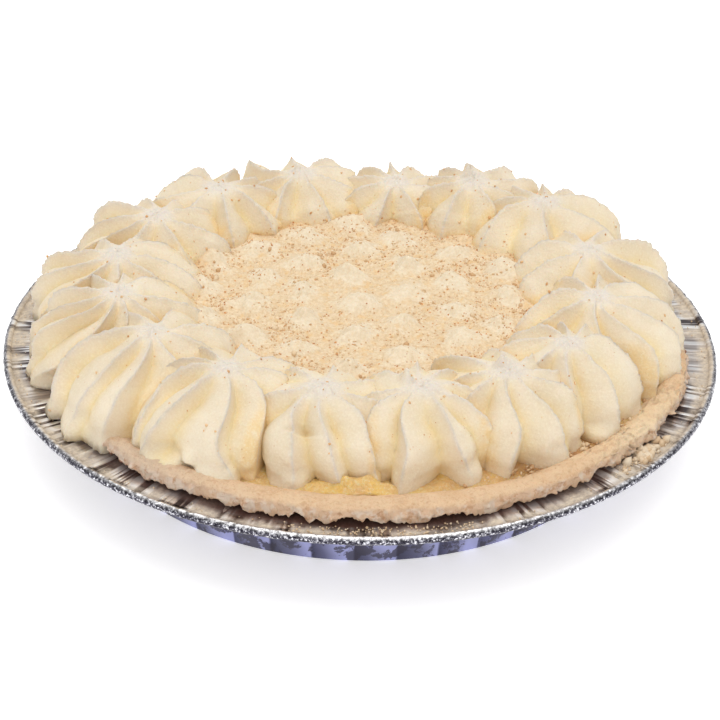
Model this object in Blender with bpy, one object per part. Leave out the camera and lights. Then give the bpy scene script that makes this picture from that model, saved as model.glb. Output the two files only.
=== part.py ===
"""Whole banana cream pie in its own foil tin.

A fluted foil tin with a rolled rim holds a shortcrust shell, a custard
filling, a bed of low piped cream peaks and a ring of sixteen tall piped
rosettes. The origin is the middle of the tin's underside, +Z is up, and
bearings are counted counter-clockwise from +X. Lengths are metres.
"""
import math
import random

import bmesh
import bpy
import numpy as np
from mathutils import Vector
from mathutils.geometry import delaunay_2d_cdt

# Clear space kept between touching pieces
GAP = 0.0003

# Foil tin
TIN_RIM_RADIUS = 0.122
TIN_FLAT_INNER = 0.1055
TIN_FLAT_HEIGHT = 0.028
TIN_BASE_RADIUS = 0.0932
TIN_FOIL = 0.0005
TIN_FLUTES = 44
TIN_FLUTE_DEPTH = 0.0009
BEAD_RADIUS = 0.0014
BEAD_SIDES = 5

# Shortcrust shell
CRUST_SEGMENTS = 56
CRUST_REACH = 0.1124
CRUST_TOP = 0.0346
CRUST_TOP_LOW = 0.0324
CRUST_LOW_BEARING = 111.0
CRUST_LOW_SPREAD = 115.0
CRUST_COVERED_INSET = 0.0042
CRUST_UNDERSIDE = 0.0293
CRUST_INNER_RADIUS = 0.1042
CRUST_SHOULDER_RADIUS = 0.0985
CRUST_SHOULDER_HEIGHT = 0.0280
CRUST_FLOOR_RADIUS = 0.0855
CRUST_FLOOR = 0.0044

# Custard filling
FILLING_LEVEL = 0.0316
FILLING_RADIUS = 0.1036
FILLING_RINGS = (0.094, 0.0985, 0.1015, FILLING_RADIUS)
LUMP_BEARING = -91.0
LUMP_RADIUS = 0.1005
LUMP_HEIGHT = 0.0034

# Bed of low cream peaks
BED_RADIUS = 0.0640
BED_CENTRE = (0.0005, 0.0020)
BED_LEVEL = 0.0410
BED_SIDES = 48
BED_STEP = 0.0056
PEAK_COLUMNS = 0.0170
PEAK_ROWS = 0.0205
PEAK_MARGIN = 0.0085
PEAK_HEIGHT = 0.0052
PEAK_SPREAD = 0.0055

# Ring of rosettes: bearing in degrees, then peak radius, outer reach and
# peak height in millimetres
ROSETTES = (
    (107, 81, 110, 54),
    (132, 79, 112, 56),
    (154, 81, 113, 56),
    (176, 84, 114, 56),
    (195, 83, 114, 56),
    (215, 81, 115, 56),
    (239, 80, 110, 56),
    (262, 80, 103, 56),
    (284, 80, 102, 56),
    (305, 81, 104, 56),
    (324, 82, 105, 56),
    (348, 80, 111, 56),
    (372, 80, 112, 56),
    (399, 84, 112, 56),
    (420, 81, 111, 56),
    (441, 76, 108, 53),
)
ROSETTE_FOOT = 0.0292
ROSETTE_INNER = 0.0545
ROSETTE_INNER_BACK = 0.0045
ROSETTE_INSET = 0.0020
ROSETTE_CLEAR = 0.0002
ROSETTE_WIDTH_SHARE = 1.70
ROSETTE_SQUARENESS = 2.5
ROSETTE_TUCK = 0.0006
ROSETTE_SUNK = 0.0030
ROSETTE_CLIMB = (0.0, 0.17, 0.38, 0.60, 0.82, 1.0)
RIDGE_SAMPLES = 3
PLATEAU_RADIUS = (0.0050, 0.0064)
PLATEAU_RISE = (0.0005, 0.0011)
GROOVE_SHARE = 0.48
GROOVE_SHALLOWEST = 0.0014
GROOVE_DEEPEST = 0.0062
GROOVE_UNEVEN = (0.85, 1.20)

# Directions of each rosette's ridges half way up, in degrees
RIDGES = (
    (10, 55, 98, 138, 200, 250, 297, 335),
    (10, 42, 76, 116, 145, 192, 245, 290, 330),
    (25, 70, 108, 144, 172, 200, 245, 300, 350),
    (18, 62, 112, 160, 186, 222, 272, 322, 353),
    (5, 39, 80, 122, 158, 189, 207, 241, 280, 321),
    (25, 75, 128, 187, 229, 252, 307, 346),
    (30, 75, 120, 160, 203, 222, 265, 299, 350),
    (30, 78, 125, 174, 238, 275, 304, 353),
    (2, 48, 92, 138, 182, 218, 262, 301, 342),
    (18, 58, 102, 147, 182, 215, 277, 313, 350),
    (5, 60, 92, 128, 173, 221, 273, 310),
    (9, 28, 75, 118, 181, 204, 268, 304, 339),
    (30, 72, 115, 173, 199, 253, 318, 352),
    (12, 45, 85, 125, 165, 207, 270, 337),
    (22, 54, 95, 130, 165, 190, 238, 292, 348),
    (15, 60, 92, 123, 165, 205, 250, 290, 330),
)

# Ridges with a square shoulder: rosette and direction
SQUARE_RIDGES = (
    (1, 138), (2, 116), (3, 144), (10, 147), (14, 12), (15, 22), (15, 54), (15, 165), (13, 30),
)
SQUARE_FULLNESS = (4.4, 5.6)
ROUND_FULLNESS = (2.1, 3.4)

# Where the groove lies between one ridge and the next: near 0 it follows the
# first ridge closely, near 1 the second
GROOVE_LEANS = (
    0.36, 0.64, 0.36, 0.34, 0.32, 0.28, 0.26, 0.36, 0.66, 0.30, 0.32, 0.34, 0.64, 0.36, 0.36, 0.36,
)

# Torn spikes on some tips: rosette, offset from the peak and rise
SPIKES = {
    1: (-0.0014, 0.0010, 0.0020),
    9: (-0.0034, 0.0022, 0.0048),
    10: (-0.0024, 0.0024, 0.0038),
    15: (-0.0024, 0.0020, 0.0045),
}
SPIKE_RADIUS = 0.0014
SEED = 41


def remove_everything():
    """Start from an empty scene."""
    for item in list(bpy.data.objects):
        bpy.data.objects.remove(item, do_unlink=True)


def plain_material(name, colour, roughness, metallic=0.0):
    """One Principled material."""
    material = bpy.data.materials.new(name)
    material.use_nodes = True
    shader = material.node_tree.nodes["Principled BSDF"]
    shader.inputs["Base Color"].default_value = (*colour, 1.0)
    shader.inputs["Roughness"].default_value = roughness
    shader.inputs["Metallic"].default_value = metallic
    return material


def ripple(bearing, seed, lowest, highest):
    """Smooth periodic unevenness from -1 to 1 round the pie."""
    draw = random.Random(seed)
    total = np.zeros_like(bearing)
    weight = 0.0
    for harmonic in range(lowest, highest + 1):
        strength = draw.uniform(0.5, 1.0)
        total = total + strength * np.sin(harmonic * bearing + draw.uniform(0.0, math.tau))
        weight += strength * strength
    return np.clip(total / math.sqrt(2.0 * weight), -1.0, 1.0)


def bearings(count):
    """Evenly spread bearings in radians."""
    return np.arange(count) * math.tau / count


def bearing_distance(bearing, target_degrees):
    """How far each bearing is from the target, in degrees."""
    turn = np.degrees(bearing) - target_degrees
    return np.abs((turn + 180.0) % 360.0 - 180.0)


def ring(radius, height, bearing):
    """Points at the radius and height for each bearing."""
    radius = np.broadcast_to(radius, bearing.shape)
    height = np.broadcast_to(height, bearing.shape)
    return np.stack((radius * np.cos(bearing), radius * np.sin(bearing), height), axis=1)


def face_outwards(shape):
    """Point every face of a closed shape outwards."""
    bmesh.ops.recalc_face_normals(shape, faces=shape.faces)
    if shape.calc_volume(signed=True) < 0.0:
        bmesh.ops.reverse_faces(shape, faces=shape.faces)


def closed_solid(name, rings, first_centre, last_centre, material, sharp_degrees=40.0):
    """Loft equal rings, and close both ends with a fan to a centre point."""
    mesh = bpy.data.meshes.new(name)
    shape = bmesh.new()
    loops = [[shape.verts.new(point) for point in points] for points in rings]
    count = len(loops[0])
    for lower, upper in zip(loops, loops[1:]):
        for index in range(count):
            following = (index + 1) % count
            shape.faces.new((lower[index], lower[following], upper[following]))
            shape.faces.new((lower[index], upper[following], upper[index]))
    for loop, centre in ((loops[0], first_centre), (loops[-1], last_centre)):
        tip = shape.verts.new(centre)
        for index in range(count):
            shape.faces.new((loop[index], loop[(index + 1) % count], tip))
    face_outwards(shape)
    shape.to_mesh(mesh)
    shape.free()
    return place(name, mesh, material, sharp_degrees)


def place(name, mesh, material, sharp_degrees=40.0):
    """Link the mesh as one named object."""
    mesh.materials.append(material)
    mesh.shade_smooth()
    mesh.set_sharp_from_angle(angle=math.radians(sharp_degrees))
    item = bpy.data.objects.new(name, mesh)
    bpy.context.scene.collection.objects.link(item)
    return item


def flute(bearing, share):
    """Radial offset of the pressed wall, from -depth to +depth."""
    return -share * TIN_FLUTE_DEPTH * np.cos(TIN_FLUTES * bearing)


def make_tin():
    """Thin foil tin: flat base, fluted wall, flat rim and rolled bead.

    The base ends in a plain round corner, and the flutes begin above it.
    """
    turn = bearings(TIN_FLUTES * 2)
    wall_top = TIN_FLAT_HEIGHT - 0.0012
    corner = 0.0006
    flutes_from = 0.0066
    flutes_radius = TIN_BASE_RADIUS + 0.0024
    bead_centre = TIN_RIM_RADIUS - BEAD_RADIUS
    bead_height = TIN_FLAT_HEIGHT - 0.0003
    under = TIN_FLAT_HEIGHT - TIN_FOIL
    rings = [
        ring(TIN_BASE_RADIUS - 0.0014, 0.0, turn),
        ring(TIN_BASE_RADIUS, corner, turn),
        ring(flutes_radius + flute(turn, 0.9), flutes_from, turn),
        ring(TIN_FLAT_INNER - 0.0012 + flute(turn, 1.0), wall_top - TIN_FOIL, turn),
        ring(TIN_FLAT_INNER + 0.0006, under, turn),
    ]
    for step in range(BEAD_SIDES):
        angle = math.radians(-155.0 + step * 310.0 / (BEAD_SIDES - 1))
        rings.append(ring(
            bead_centre + BEAD_RADIUS * math.cos(angle),
            bead_height + BEAD_RADIUS * math.sin(angle),
            turn,
        ))
    rings += [
        ring(TIN_FLAT_INNER, TIN_FLAT_HEIGHT, turn),
        ring(TIN_FLAT_INNER - 0.0018 + flute(turn, 1.0), wall_top, turn),
        ring(flutes_radius - 0.0006 + flute(turn, 0.9), flutes_from, turn),
        ring(TIN_BASE_RADIUS - 0.0006, corner + 0.6 * TIN_FOIL, turn),
        ring(TIN_BASE_RADIUS - 0.0018, TIN_FOIL, turn),
    ]
    foil = plain_material("foil", (0.62, 0.62, 0.66), 0.32, 1.0)
    return closed_solid("tin", rings, (0.0, 0.0, 0.0), (0.0, 0.0, TIN_FOIL), foil)


def covered_share(bearing):
    """1 where the cream hangs over the crust, falling to 0 on either side."""
    away = bearing_distance(bearing, CRUST_LOW_BEARING)
    return 1.0 / (1.0 + (away / CRUST_LOW_SPREAD) ** 20)


def crust_crown(bearing):
    """Height of the crust's top face, low where the cream hangs over it."""
    level = CRUST_TOP + (CRUST_TOP_LOW - CRUST_TOP) * covered_share(bearing)
    return level + 0.0005 * ripple(bearing, SEED + 1, 3, 14)


def crust_reach(bearing):
    """Radius of the crust's outer face."""
    front = np.exp(-((bearing_distance(bearing, -92.0) / 35.0) ** 2))
    uneven = 0.0006 * ripple(bearing, SEED + 2, 5, 22)
    return CRUST_REACH + 0.0010 * front - CRUST_COVERED_INSET * covered_share(bearing) + uneven


def crust_edge_rings(bearing, grow=0.0):
    """Rings from under the rim, over the top face and down to the filling.

    grow moves the surface outwards, for the seat of what lies on it.
    """
    crown = crust_crown(bearing)
    reach = crust_reach(bearing)
    low = CRUST_UNDERSIDE + 0.0005 * ripple(bearing, SEED + 3, 9, 30)
    edge = FILLING_LEVEL + 0.0001
    brow = CRUST_INNER_RADIUS + 0.0012
    return [
        ring(reach - 0.0016 + grow, np.maximum(low - 0.0005, 0.0286), bearing),
        ring(reach + 0.0007 + grow, low + 0.0006, bearing),
        ring(reach - 0.0010 + grow, crown - 0.0003 + grow, bearing),
        ring(np.maximum(reach - 0.0042, brow + 0.0008), crown + 0.0001 + grow, bearing),
        ring(brow - grow, np.maximum(crown - 0.0012, edge) + grow, bearing),
        ring(CRUST_INNER_RADIUS - grow, edge + grow, bearing),
    ]


def make_crust():
    """Shortcrust shell: floor, wall along the tin and a thick ragged edge."""
    turn = bearings(CRUST_SEGMENTS)
    wall = 0.0022 + TIN_FLUTE_DEPTH
    rings = [
        ring(TIN_BASE_RADIUS - 0.0050, TIN_FOIL + GAP, turn),
        ring(TIN_BASE_RADIUS + 0.0006 - wall, 0.0024, turn),
        ring(TIN_FLAT_INNER - wall, TIN_FLAT_HEIGHT - 0.0012, turn),
        ring(TIN_FLAT_INNER - 0.0012, TIN_FLAT_HEIGHT + 0.0005, turn),
    ]
    rings += crust_edge_rings(turn)
    rings.append(ring(CRUST_SHOULDER_RADIUS, CRUST_SHOULDER_HEIGHT, turn))
    rings.append(ring(CRUST_FLOOR_RADIUS, CRUST_FLOOR, turn))
    pastry = plain_material("pastry", (0.80, 0.62, 0.43), 0.85)
    first = (0.0, 0.0, TIN_FOIL + GAP)
    return closed_solid("crust", rings, first, (0.0, 0.0, CRUST_FLOOR), pastry)


def filling_top(radius, bearing):
    """Height of the custard's surface, with the lump that swells at the front."""
    uneven = 0.0004 * ripple(bearing, SEED + 4, 4, 20) - 0.0003
    open_ring = 1.0 if 0.095 < radius < FILLING_RADIUS - 0.001 else 0.0
    turn = bearing_distance(bearing, LUMP_BEARING) / 7.0
    across = (radius - LUMP_RADIUS) / 0.003
    lump = LUMP_HEIGHT * np.exp(-(turn ** 2) - across ** 2)
    return FILLING_LEVEL + open_ring * uneven + lump


def filling_top_rings(bearing, grow=0.0):
    """Rings of the custard's surface, from the edge to the middle."""
    return [
        ring(radius, filling_top(radius, bearing) + grow, bearing)
        for radius in reversed(FILLING_RINGS)
    ]


def make_filling():
    """Custard that fills the crust up to its edge."""
    turn = bearings(CRUST_SEGMENTS)
    rings = [
        ring(CRUST_FLOOR_RADIUS - 2.0 * GAP, CRUST_FLOOR + GAP, turn),
        ring(CRUST_SHOULDER_RADIUS - 1.4 * GAP, CRUST_SHOULDER_HEIGHT + 0.5 * GAP, turn),
    ]
    rings += filling_top_rings(turn)
    custard = plain_material("custard", (0.80, 0.55, 0.22), 0.45)
    first = (0.0, 0.0, CRUST_FLOOR + GAP)
    return closed_solid("filling", rings, first, (0.0, 0.0, FILLING_LEVEL), custard)


def bed_peaks():
    """Plan positions, heights and spreads of the bed's low peaks.

    They stand in columns, every second column half a step on, and each is
    pushed off its place a little.
    """
    draw = random.Random(SEED + 5)
    peaks = []
    for column in range(-4, 5):
        for row in range(-4, 5):
            x = column * PEAK_COLUMNS - 0.0020
            y = (row - 0.5 * (column % 2)) * PEAK_ROWS - 0.0055
            x += draw.uniform(-0.0018, 0.0018) - BED_CENTRE[0]
            y += draw.uniform(-0.0018, 0.0018) - BED_CENTRE[1]
            height = PEAK_HEIGHT * draw.uniform(0.75, 1.12)
            spread = PEAK_SPREAD * draw.uniform(0.88, 1.15)
            if math.hypot(x, y) < BED_RADIUS - PEAK_MARGIN:
                peaks.append((x, y, height, spread))
    return peaks


def bed_height(x, y, peaks):
    """Height of the bed's surface over a point measured from its centre."""
    height = BED_LEVEL
    for peak_x, peak_y, peak_height, spread in peaks:
        distance = math.hypot(x - peak_x, y - peak_y) / spread
        height += peak_height * math.exp(-(distance ** 1.6))
    edge = min(1.0, (BED_RADIUS - math.hypot(x, y)) / 0.004)
    return height - 0.0016 * (1.0 - edge) ** 2


def bed_outline(grow=0.0):
    """Corners of the bed's round outline in plan."""
    radius = BED_RADIUS + grow
    corners = []
    for bearing in bearings(BED_SIDES):
        x = BED_CENTRE[0] + radius * math.cos(bearing)
        y = BED_CENTRE[1] + radius * math.sin(bearing)
        corners.append((x, y))
    return corners


def make_bed(name, material, grow, underside):
    """Cream bed: low peaks on top, an upright edge, a flat underside.

    grow moves the surface outwards, for the seat of what lies on it.
    """
    peaks = bed_peaks()
    points = [Vector(corner) for corner in bed_outline(grow)]
    for x, y, _, _ in peaks:
        points.append(Vector((x + BED_CENTRE[0], y + BED_CENTRE[1])))
    row_step = BED_STEP * 0.866
    rows = int(BED_RADIUS / row_step) + 1
    for row in range(-rows, rows + 1):
        for column in range(-rows, rows + 1):
            x = (column + 0.5 * (row % 2)) * BED_STEP
            y = row * row_step
            inside = math.hypot(x, y) < BED_RADIUS - 0.5 * BED_STEP
            free = all(math.hypot(x - p[0], y - p[1]) > 0.55 * BED_STEP for p in peaks)
            if inside and free:
                points.append(Vector((x + BED_CENTRE[0], y + BED_CENTRE[1])))
    edges = [(index, (index + 1) % BED_SIDES) for index in range(BED_SIDES)]
    flat, _, faces, _, _, _ = delaunay_2d_cdt(points, edges, [], 1, 1e-7)

    shape = bmesh.new()
    surface = []
    for point in flat:
        height = bed_height(point.x - BED_CENTRE[0], point.y - BED_CENTRE[1], peaks)
        surface.append(shape.verts.new((point.x, point.y, height + grow)))
    for face in faces:
        shape.faces.new([surface[index] for index in face])
    rim = [edge for edge in shape.edges if edge.is_boundary]
    extruded = bmesh.ops.extrude_edge_only(shape, edges=rim)["geom"]
    foot = [item for item in extruded if isinstance(item, bmesh.types.BMVert)]
    for corner in foot:
        corner.co.z = underside
    foot_edges = [item for item in extruded if isinstance(item, bmesh.types.BMEdge)]
    bmesh.ops.contextual_create(shape, geom=[e for e in foot_edges if e.is_boundary])
    bmesh.ops.triangulate(shape, faces=shape.faces)
    face_outwards(shape)
    mesh = bpy.data.meshes.new(name)
    shape.to_mesh(mesh)
    shape.free()
    return place(name, mesh, material)


def cream_material(name):
    """Pale whipped cream."""
    return plain_material(name, (0.88, 0.80, 0.62), 0.55)


def make_seat(paint):
    """Cutter of the crust and custard under the rosettes, grown by the gap."""
    turn = bearings(CRUST_SEGMENTS)
    foot = ROSETTE_FOOT - 0.002
    rings = crust_edge_rings(turn, GAP)
    rings[0] = rings[1] * (1.0, 1.0, 0.0) + (0.0, 0.0, foot)
    rings += filling_top_rings(turn, GAP)
    top = (0.0, 0.0, FILLING_LEVEL + GAP)
    return closed_solid("seat cutter", rings, (0.0, 0.0, foot), top, paint)


def hide_cutter(cutter):
    """Keep a cutter out of the model."""
    cutter.hide_render = True
    cutter.display_type = "WIRE"


def soft_step(value, low, high):
    """0 up to low, 1 from high on, and smooth between."""
    share = np.clip((value - low) / (high - low), 0.0, 1.0)
    return share * share * (3.0 - 2.0 * share)


class Rosette:
    """Sizes of one piped star of cream and the directions of its ridges."""

    def __init__(self, number):
        draw = random.Random(SEED + 20 + number)
        bearing, peak, outer, height = ROSETTES[number]
        self.number = number
        self.bearing = math.radians(bearing)
        self.peak = peak / 1000.0
        self.outer = outer / 1000.0
        self.height = height / 1000.0
        self.inner = ROSETTE_INNER + ROSETTE_INNER_BACK * max(0.0, math.sin(self.bearing))
        before = math.radians(ROSETTES[number - 1][0])
        after = math.radians(ROSETTES[(number + 1) % len(ROSETTES)][0])
        self.sides = (self.bearing - ((self.bearing - before) % math.tau) / 2.0,
                      self.bearing + ((after - self.bearing) % math.tau) / 2.0)
        self.outward = np.array((math.cos(self.bearing), math.sin(self.bearing)))
        self.across = np.array((-self.outward[1], self.outward[0]))
        self.foot_middle = (self.outer + self.inner) / 2.0
        self.half_length = (self.outer - self.inner) / 2.0
        side = math.sin((self.sides[1] - self.sides[0]) / 2.0)
        self.half_width = self.foot_middle * side * ROSETTE_WIDTH_SHARE
        self.hangs_over = covered_share(self.bearing) > 0.5
        self.plateau = draw.uniform(*PLATEAU_RADIUS)
        self.plateau_rise = draw.uniform(*PLATEAU_RISE)
        self.ridges = np.array(RIDGES[number], dtype=float)
        self.fullness = np.array([
            draw.uniform(*(
                SQUARE_FULLNESS if (number + 1, direction) in SQUARE_RIDGES else ROUND_FULLNESS
            )) for direction in RIDGES[number]
        ])
        draw = random.Random(SEED + 70 + number)
        lean = GROOVE_LEANS[number]
        self.leans = np.array([lean + draw.uniform(-0.06, 0.06) for _ in self.ridges])
        self.strengths = np.array([draw.uniform(*GROOVE_UNEVEN) for _ in self.ridges])

    def body(self, turn, climb, full):
        """Points of the smooth body, before grooves are pressed in.

        climb runs from 0 at the foot to 1 at the edge of the plateau. Inwards
        the foot stands on the bed, and outwards on the custard and the crust.
        """
        footprint = ((np.abs(np.cos(turn)) / self.half_length) ** ROSETTE_SQUARENESS
                     + (np.abs(np.sin(turn)) / self.half_width) ** ROSETTE_SQUARENESS)
        footprint **= -1.0 / ROSETTE_SQUARENESS
        arc = np.clip(climb, 0.0, 1.0) * math.pi / 2.0
        inward = soft_step(-np.cos(turn), -0.10, 0.50)
        level = np.sin(arc) ** (2.0 / (full + 1.3 * inward))
        radius = self.plateau + (footprint - self.plateau) * np.cos(arc)
        radius = radius - ROSETTE_TUCK * inward * np.exp(-((level / 0.30) ** 2))
        foot = ROSETTE_FOOT + (BED_LEVEL - ROSETTE_SUNK - ROSETTE_FOOT) * inward
        height = foot + (self.height - self.plateau_rise - foot) * level
        lift = np.sin(arc) ** (2.0 / 2.4)
        middle = self.foot_middle + (self.peak - self.foot_middle) * lift ** 1.2
        along = (middle + radius * np.cos(turn))[..., None] * self.outward
        aside = (radius * np.sin(turn))[..., None] * self.across
        return np.concatenate((along + aside, height[..., None]), axis=-1), level, radius

    def surface(self):
        """Rings of the grooved body from the foot to the plateau.

        Each ridge falls steeply to its groove, and the next one rises gently
        from it: one step on the crest, one in the groove and one between.
        """
        count = len(self.ridges)
        step = np.arange(count * RIDGE_SAMPLES)
        ridge = step // RIDGE_SAMPLES
        lean = self.leans[ridge]
        early = lean < 0.5
        between = np.where(early, (1.0 + lean) / 2.0, lean / 2.0)
        first = np.where(early, lean, between)
        second = np.where(early, between, lean)
        part = np.choose(step % RIDGE_SAMPLES, (np.zeros_like(lean), first, second))
        gap = (np.roll(self.ridges, -1) - self.ridges) % 360.0
        turn = np.radians(self.ridges[ridge] + gap[ridge] * part) - self.bearing
        full = self.fullness[ridge] * (1.0 - part) + np.roll(self.fullness, -1)[ridge] * part
        climb, turn = np.meshgrid(ROSETTE_CLIMB, turn, indexing="ij")
        full = np.broadcast_to(full, turn.shape)
        smooth, level, radius = self.body(turn, climb, full)

        nudge = 0.02
        across = self.body(turn + nudge, climb, full)[0] - self.body(turn - nudge, climb, full)[0]
        lower = np.clip(climb - nudge, 0.0, 1.0)
        upper = np.clip(climb + nudge, 0.0, 1.0)
        along = self.body(turn, upper, full)[0] - self.body(turn, lower, full)[0]
        normal = np.cross(across, along)
        normal /= np.linalg.norm(normal, axis=-1, keepdims=True) + 1e-12

        sides = np.where(part < lean, part / lean, (1.0 - part) / (1.0 - lean))
        breadth = np.where(part < lean, lean, 1.0 - lean)
        valley = sides ** (0.5 + 1.25 * breadth)
        wide = np.radians(gap[ridge]) * 0.0175
        deep = GROOVE_SHARE * wide * self.strengths[ridge]
        deep = np.clip(deep, GROOVE_SHALLOWEST, GROOVE_DEEPEST)
        fading = soft_step(radius, 0.75 * self.plateau, 2.1 * self.plateau)
        deep = deep * np.clip(radius / 0.0150, 0.0, 1.0) ** 0.9 * (0.22 + 0.78 * fading)
        points = smooth - normal * (deep * valley)[..., None]
        return self.kept_clear(points)

    def kept_clear(self, points):
        """Points moved inside the neighbours' planes and the round line of the rim.

        Where the crust is covered, the rosette hangs over it, and any other
        rosette stops short of the crust's outer face.
        """
        plan = points[..., :2]
        for side, bearing in zip((-1.0, 1.0), self.sides):
            plane = side * np.array((-math.sin(bearing), math.cos(bearing)))
            beyond = np.maximum(plan @ plane + ROSETTE_CLEAR, 0.0)
            plan -= plane * beyond[..., None]
        line = CRUST_REACH - ROSETTE_INSET
        if self.hangs_over:
            line = self.outer + ROSETTE_INSET
        distance = np.linalg.norm(plan, axis=-1)
        plan *= np.minimum(1.0, line / distance)[..., None]
        points[..., 2] = np.maximum(points[..., 2], ROSETTE_FOOT)
        return points


def make_rosette(number, cutters, material):
    """One piped star of cream, cut to sit on the bed, the custard and the crust."""
    rosette = Rosette(number)
    rings = list(rosette.surface())
    peak = np.array((*(rosette.outward * rosette.peak), rosette.height))
    if number + 1 in SPIKES:
        x, y, rise = SPIKES[number + 1]
        spike = peak + (x, y, 0.0)
        edge = rings[-1] - rings[-1].mean(axis=0)
        edge /= np.linalg.norm(edge[:, :2], axis=1)[:, None]
        rings.append(spike + edge * (SPIKE_RADIUS, SPIKE_RADIUS, 0.0))
        peak = spike + (0.0, 0.0, rise)
    foot = (*(rosette.outward * rosette.foot_middle), ROSETTE_FOOT)
    name = f"rosette_{number + 1:02d}"
    star = closed_solid(name, rings, foot, tuple(peak), material)
    for cutter in cutters:
        cut = star.modifiers.new("clear " + cutter.name, "BOOLEAN")
        cut.operation = "DIFFERENCE"
        cut.object = cutter
        cut.solver = "MANIFOLD"


def main():
    """Build every piece."""
    remove_everything()
    make_tin()
    make_crust()
    make_filling()
    make_bed("cream_bed", cream_material("bed cream"), 0.0, FILLING_LEVEL + GAP)
    paint = plain_material("cutter", (0.5, 0.5, 0.5), 0.5)
    cutters = (make_seat(paint), make_bed("bed cutter", paint, GAP, ROSETTE_FOOT - 0.002))
    for cutter in cutters:
        hide_cutter(cutter)
    cream = cream_material("rosette cream")
    for number in range(len(ROSETTES)):
        make_rosette(number, cutters, cream)


main()
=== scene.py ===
"""Looks of the banana cream pie: fine surfaces, finishes, light and camera.

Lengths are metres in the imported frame: the origin is the middle of the
tin's underside, +Z is up and the camera stands on the -Y side.
"""

import itertools
import math
import random

import bpy
import numpy as np
from mathutils import Matrix, Vector


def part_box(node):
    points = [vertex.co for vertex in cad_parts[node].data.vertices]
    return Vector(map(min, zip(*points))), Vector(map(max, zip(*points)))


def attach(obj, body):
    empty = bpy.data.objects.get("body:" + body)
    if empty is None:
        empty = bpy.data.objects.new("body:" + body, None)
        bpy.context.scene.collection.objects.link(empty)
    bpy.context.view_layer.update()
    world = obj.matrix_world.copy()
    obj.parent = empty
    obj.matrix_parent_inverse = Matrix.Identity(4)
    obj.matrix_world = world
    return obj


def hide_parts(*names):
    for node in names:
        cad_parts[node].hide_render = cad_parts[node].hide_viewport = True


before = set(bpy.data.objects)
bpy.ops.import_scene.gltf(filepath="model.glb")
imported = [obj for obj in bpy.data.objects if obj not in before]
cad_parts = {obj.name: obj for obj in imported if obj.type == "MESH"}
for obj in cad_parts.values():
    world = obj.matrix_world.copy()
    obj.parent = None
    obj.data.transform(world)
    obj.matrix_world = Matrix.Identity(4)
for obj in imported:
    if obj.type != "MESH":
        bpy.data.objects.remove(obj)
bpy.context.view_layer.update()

# Sizes shared with the solids
SEED = 41
TIN_RIM_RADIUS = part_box("tin")[1][0]
TIN_FLAT_INNER = 0.1055
TIN_FLAT_HEIGHT = 0.0280
TIN_BASE_RADIUS = 0.0932
TIN_FLUTES = 44
TIN_FLUTE_DEPTH = 0.0009
BEAD_RADIUS = 0.0014
CRUST_REACH = 0.1124
CRUST_TOP = 0.0346
CRUST_TOP_LOW = 0.0324
CRUST_LOW_BEARING = 111.0
CRUST_LOW_SPREAD = 115.0
CRUST_COVERED_INSET = 0.0042
CRUST_UNDERSIDE = 0.0293
CRUST_INNER_RADIUS = 0.1042
FILLING_LEVEL = 0.0316
LUMP_BEARING = -91.0
LUMP_RADIUS = 0.1005
LUMP_HEIGHT = 0.0034
BED_RADIUS = 0.0640
BED_CENTRE = (0.0005, 0.0020)
BED_LEVEL = 0.0410
PEAK_COLUMNS = 0.0170
PEAK_ROWS = 0.0205
PEAK_HEIGHT = 0.0052
PEAK_SPREAD = 0.0055
ROSETTE_FOOT = 0.0292
ROSETTE_SQUARENESS = 2.5
ROSETTE_WIDTH_SHARE = 1.70
ROSETTE_INNER_BACK = 0.0045

# Sizes of the tin that the solids leave out
FOIL_THICKNESS = 0.00042
BASE_FLAT_RADIUS = 0.070
WALL_START = 0.0006
WALL_TOP = TIN_FLAT_HEIGHT - 0.0017
WALL_TOP_RADIUS = TIN_FLAT_INNER - 0.0012
RIM_MIDDLE = 0.112
CRIMP_FAN = 0.07
DUST_EDGE = 0.1150
SHADE_EDGE = 0.1142
# Edges of the painted dark shadow under the crust
CRUST_SHADOW_EDGES = (0.1130, 0.1141)

# Sizes of the cream that differ from the solids, or that they leave out
BED_SKIRT = 0.0100
ROSETTE_INNER = 0.0530
TUCK = 0.0006
SEAM_OVERLAP = 0.0026
SEAM_BLEND = 0.0008
RIDGE_BEND = 0.0006
ROUND_FULLNESS = (2.1, 3.4)
SQUARE_FULLNESS = (4.4, 5.6)
GROOVE_DEPTHS = (0.0014, 0.0062)
CREST_WIDTH = 0.0009
UNDERCUT = 0.0034
FLARE = 0.0036
SPLAY = 0.0009
WAIST = 0.0011
FIN = 0.0004
FOLD = 0.0016
TOOTH = 0.0010

# Stretches of the ring: direction of the middle and spread, in degrees
RIM_FRONT = (-92.0, 34.0)
RIM_FACING = (-88.0, 44.0)
RIM_CRUST_SHADOW = (-88.0, 50.0)
CRUMB_HEAP = (-39.0, 8.0)
CRUST_FRONT = (-92.0, 35.0)
CRUST_BROKEN = (-41.0, 8.0)
CRUST_CRUMBLY = (-18.0, 20.0)
CRUST_PALE = (-128.0, 15.0)
# Stretch of the crust's top with painted light
CRUST_PAINTED_LIGHT = (-34.0, 13.0)
CUSTARD_LUMP = (LUMP_BEARING, 7.0)
CUSTARD_CHUNK = (LUMP_BEARING + 1.5, 8.5)
CUSTARD_MOIST = (-50.0, 18.0)
ROSETTES_IN_FRONT = (-90.0, 48.0)

# How far red, green and blue light spreads in the cream and in the custard
CREAM_GLOW = (1.0, 0.62, 0.32)
CUSTARD_GLOW = (1.0, 0.55, 0.2)

# How many crumbs lie where
CRUMBS_ON_EACH_ROSETTE = 95
CRUMBS_ON_CUSTARD = 260
CRUMBS_ON_RIM = 640

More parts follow.
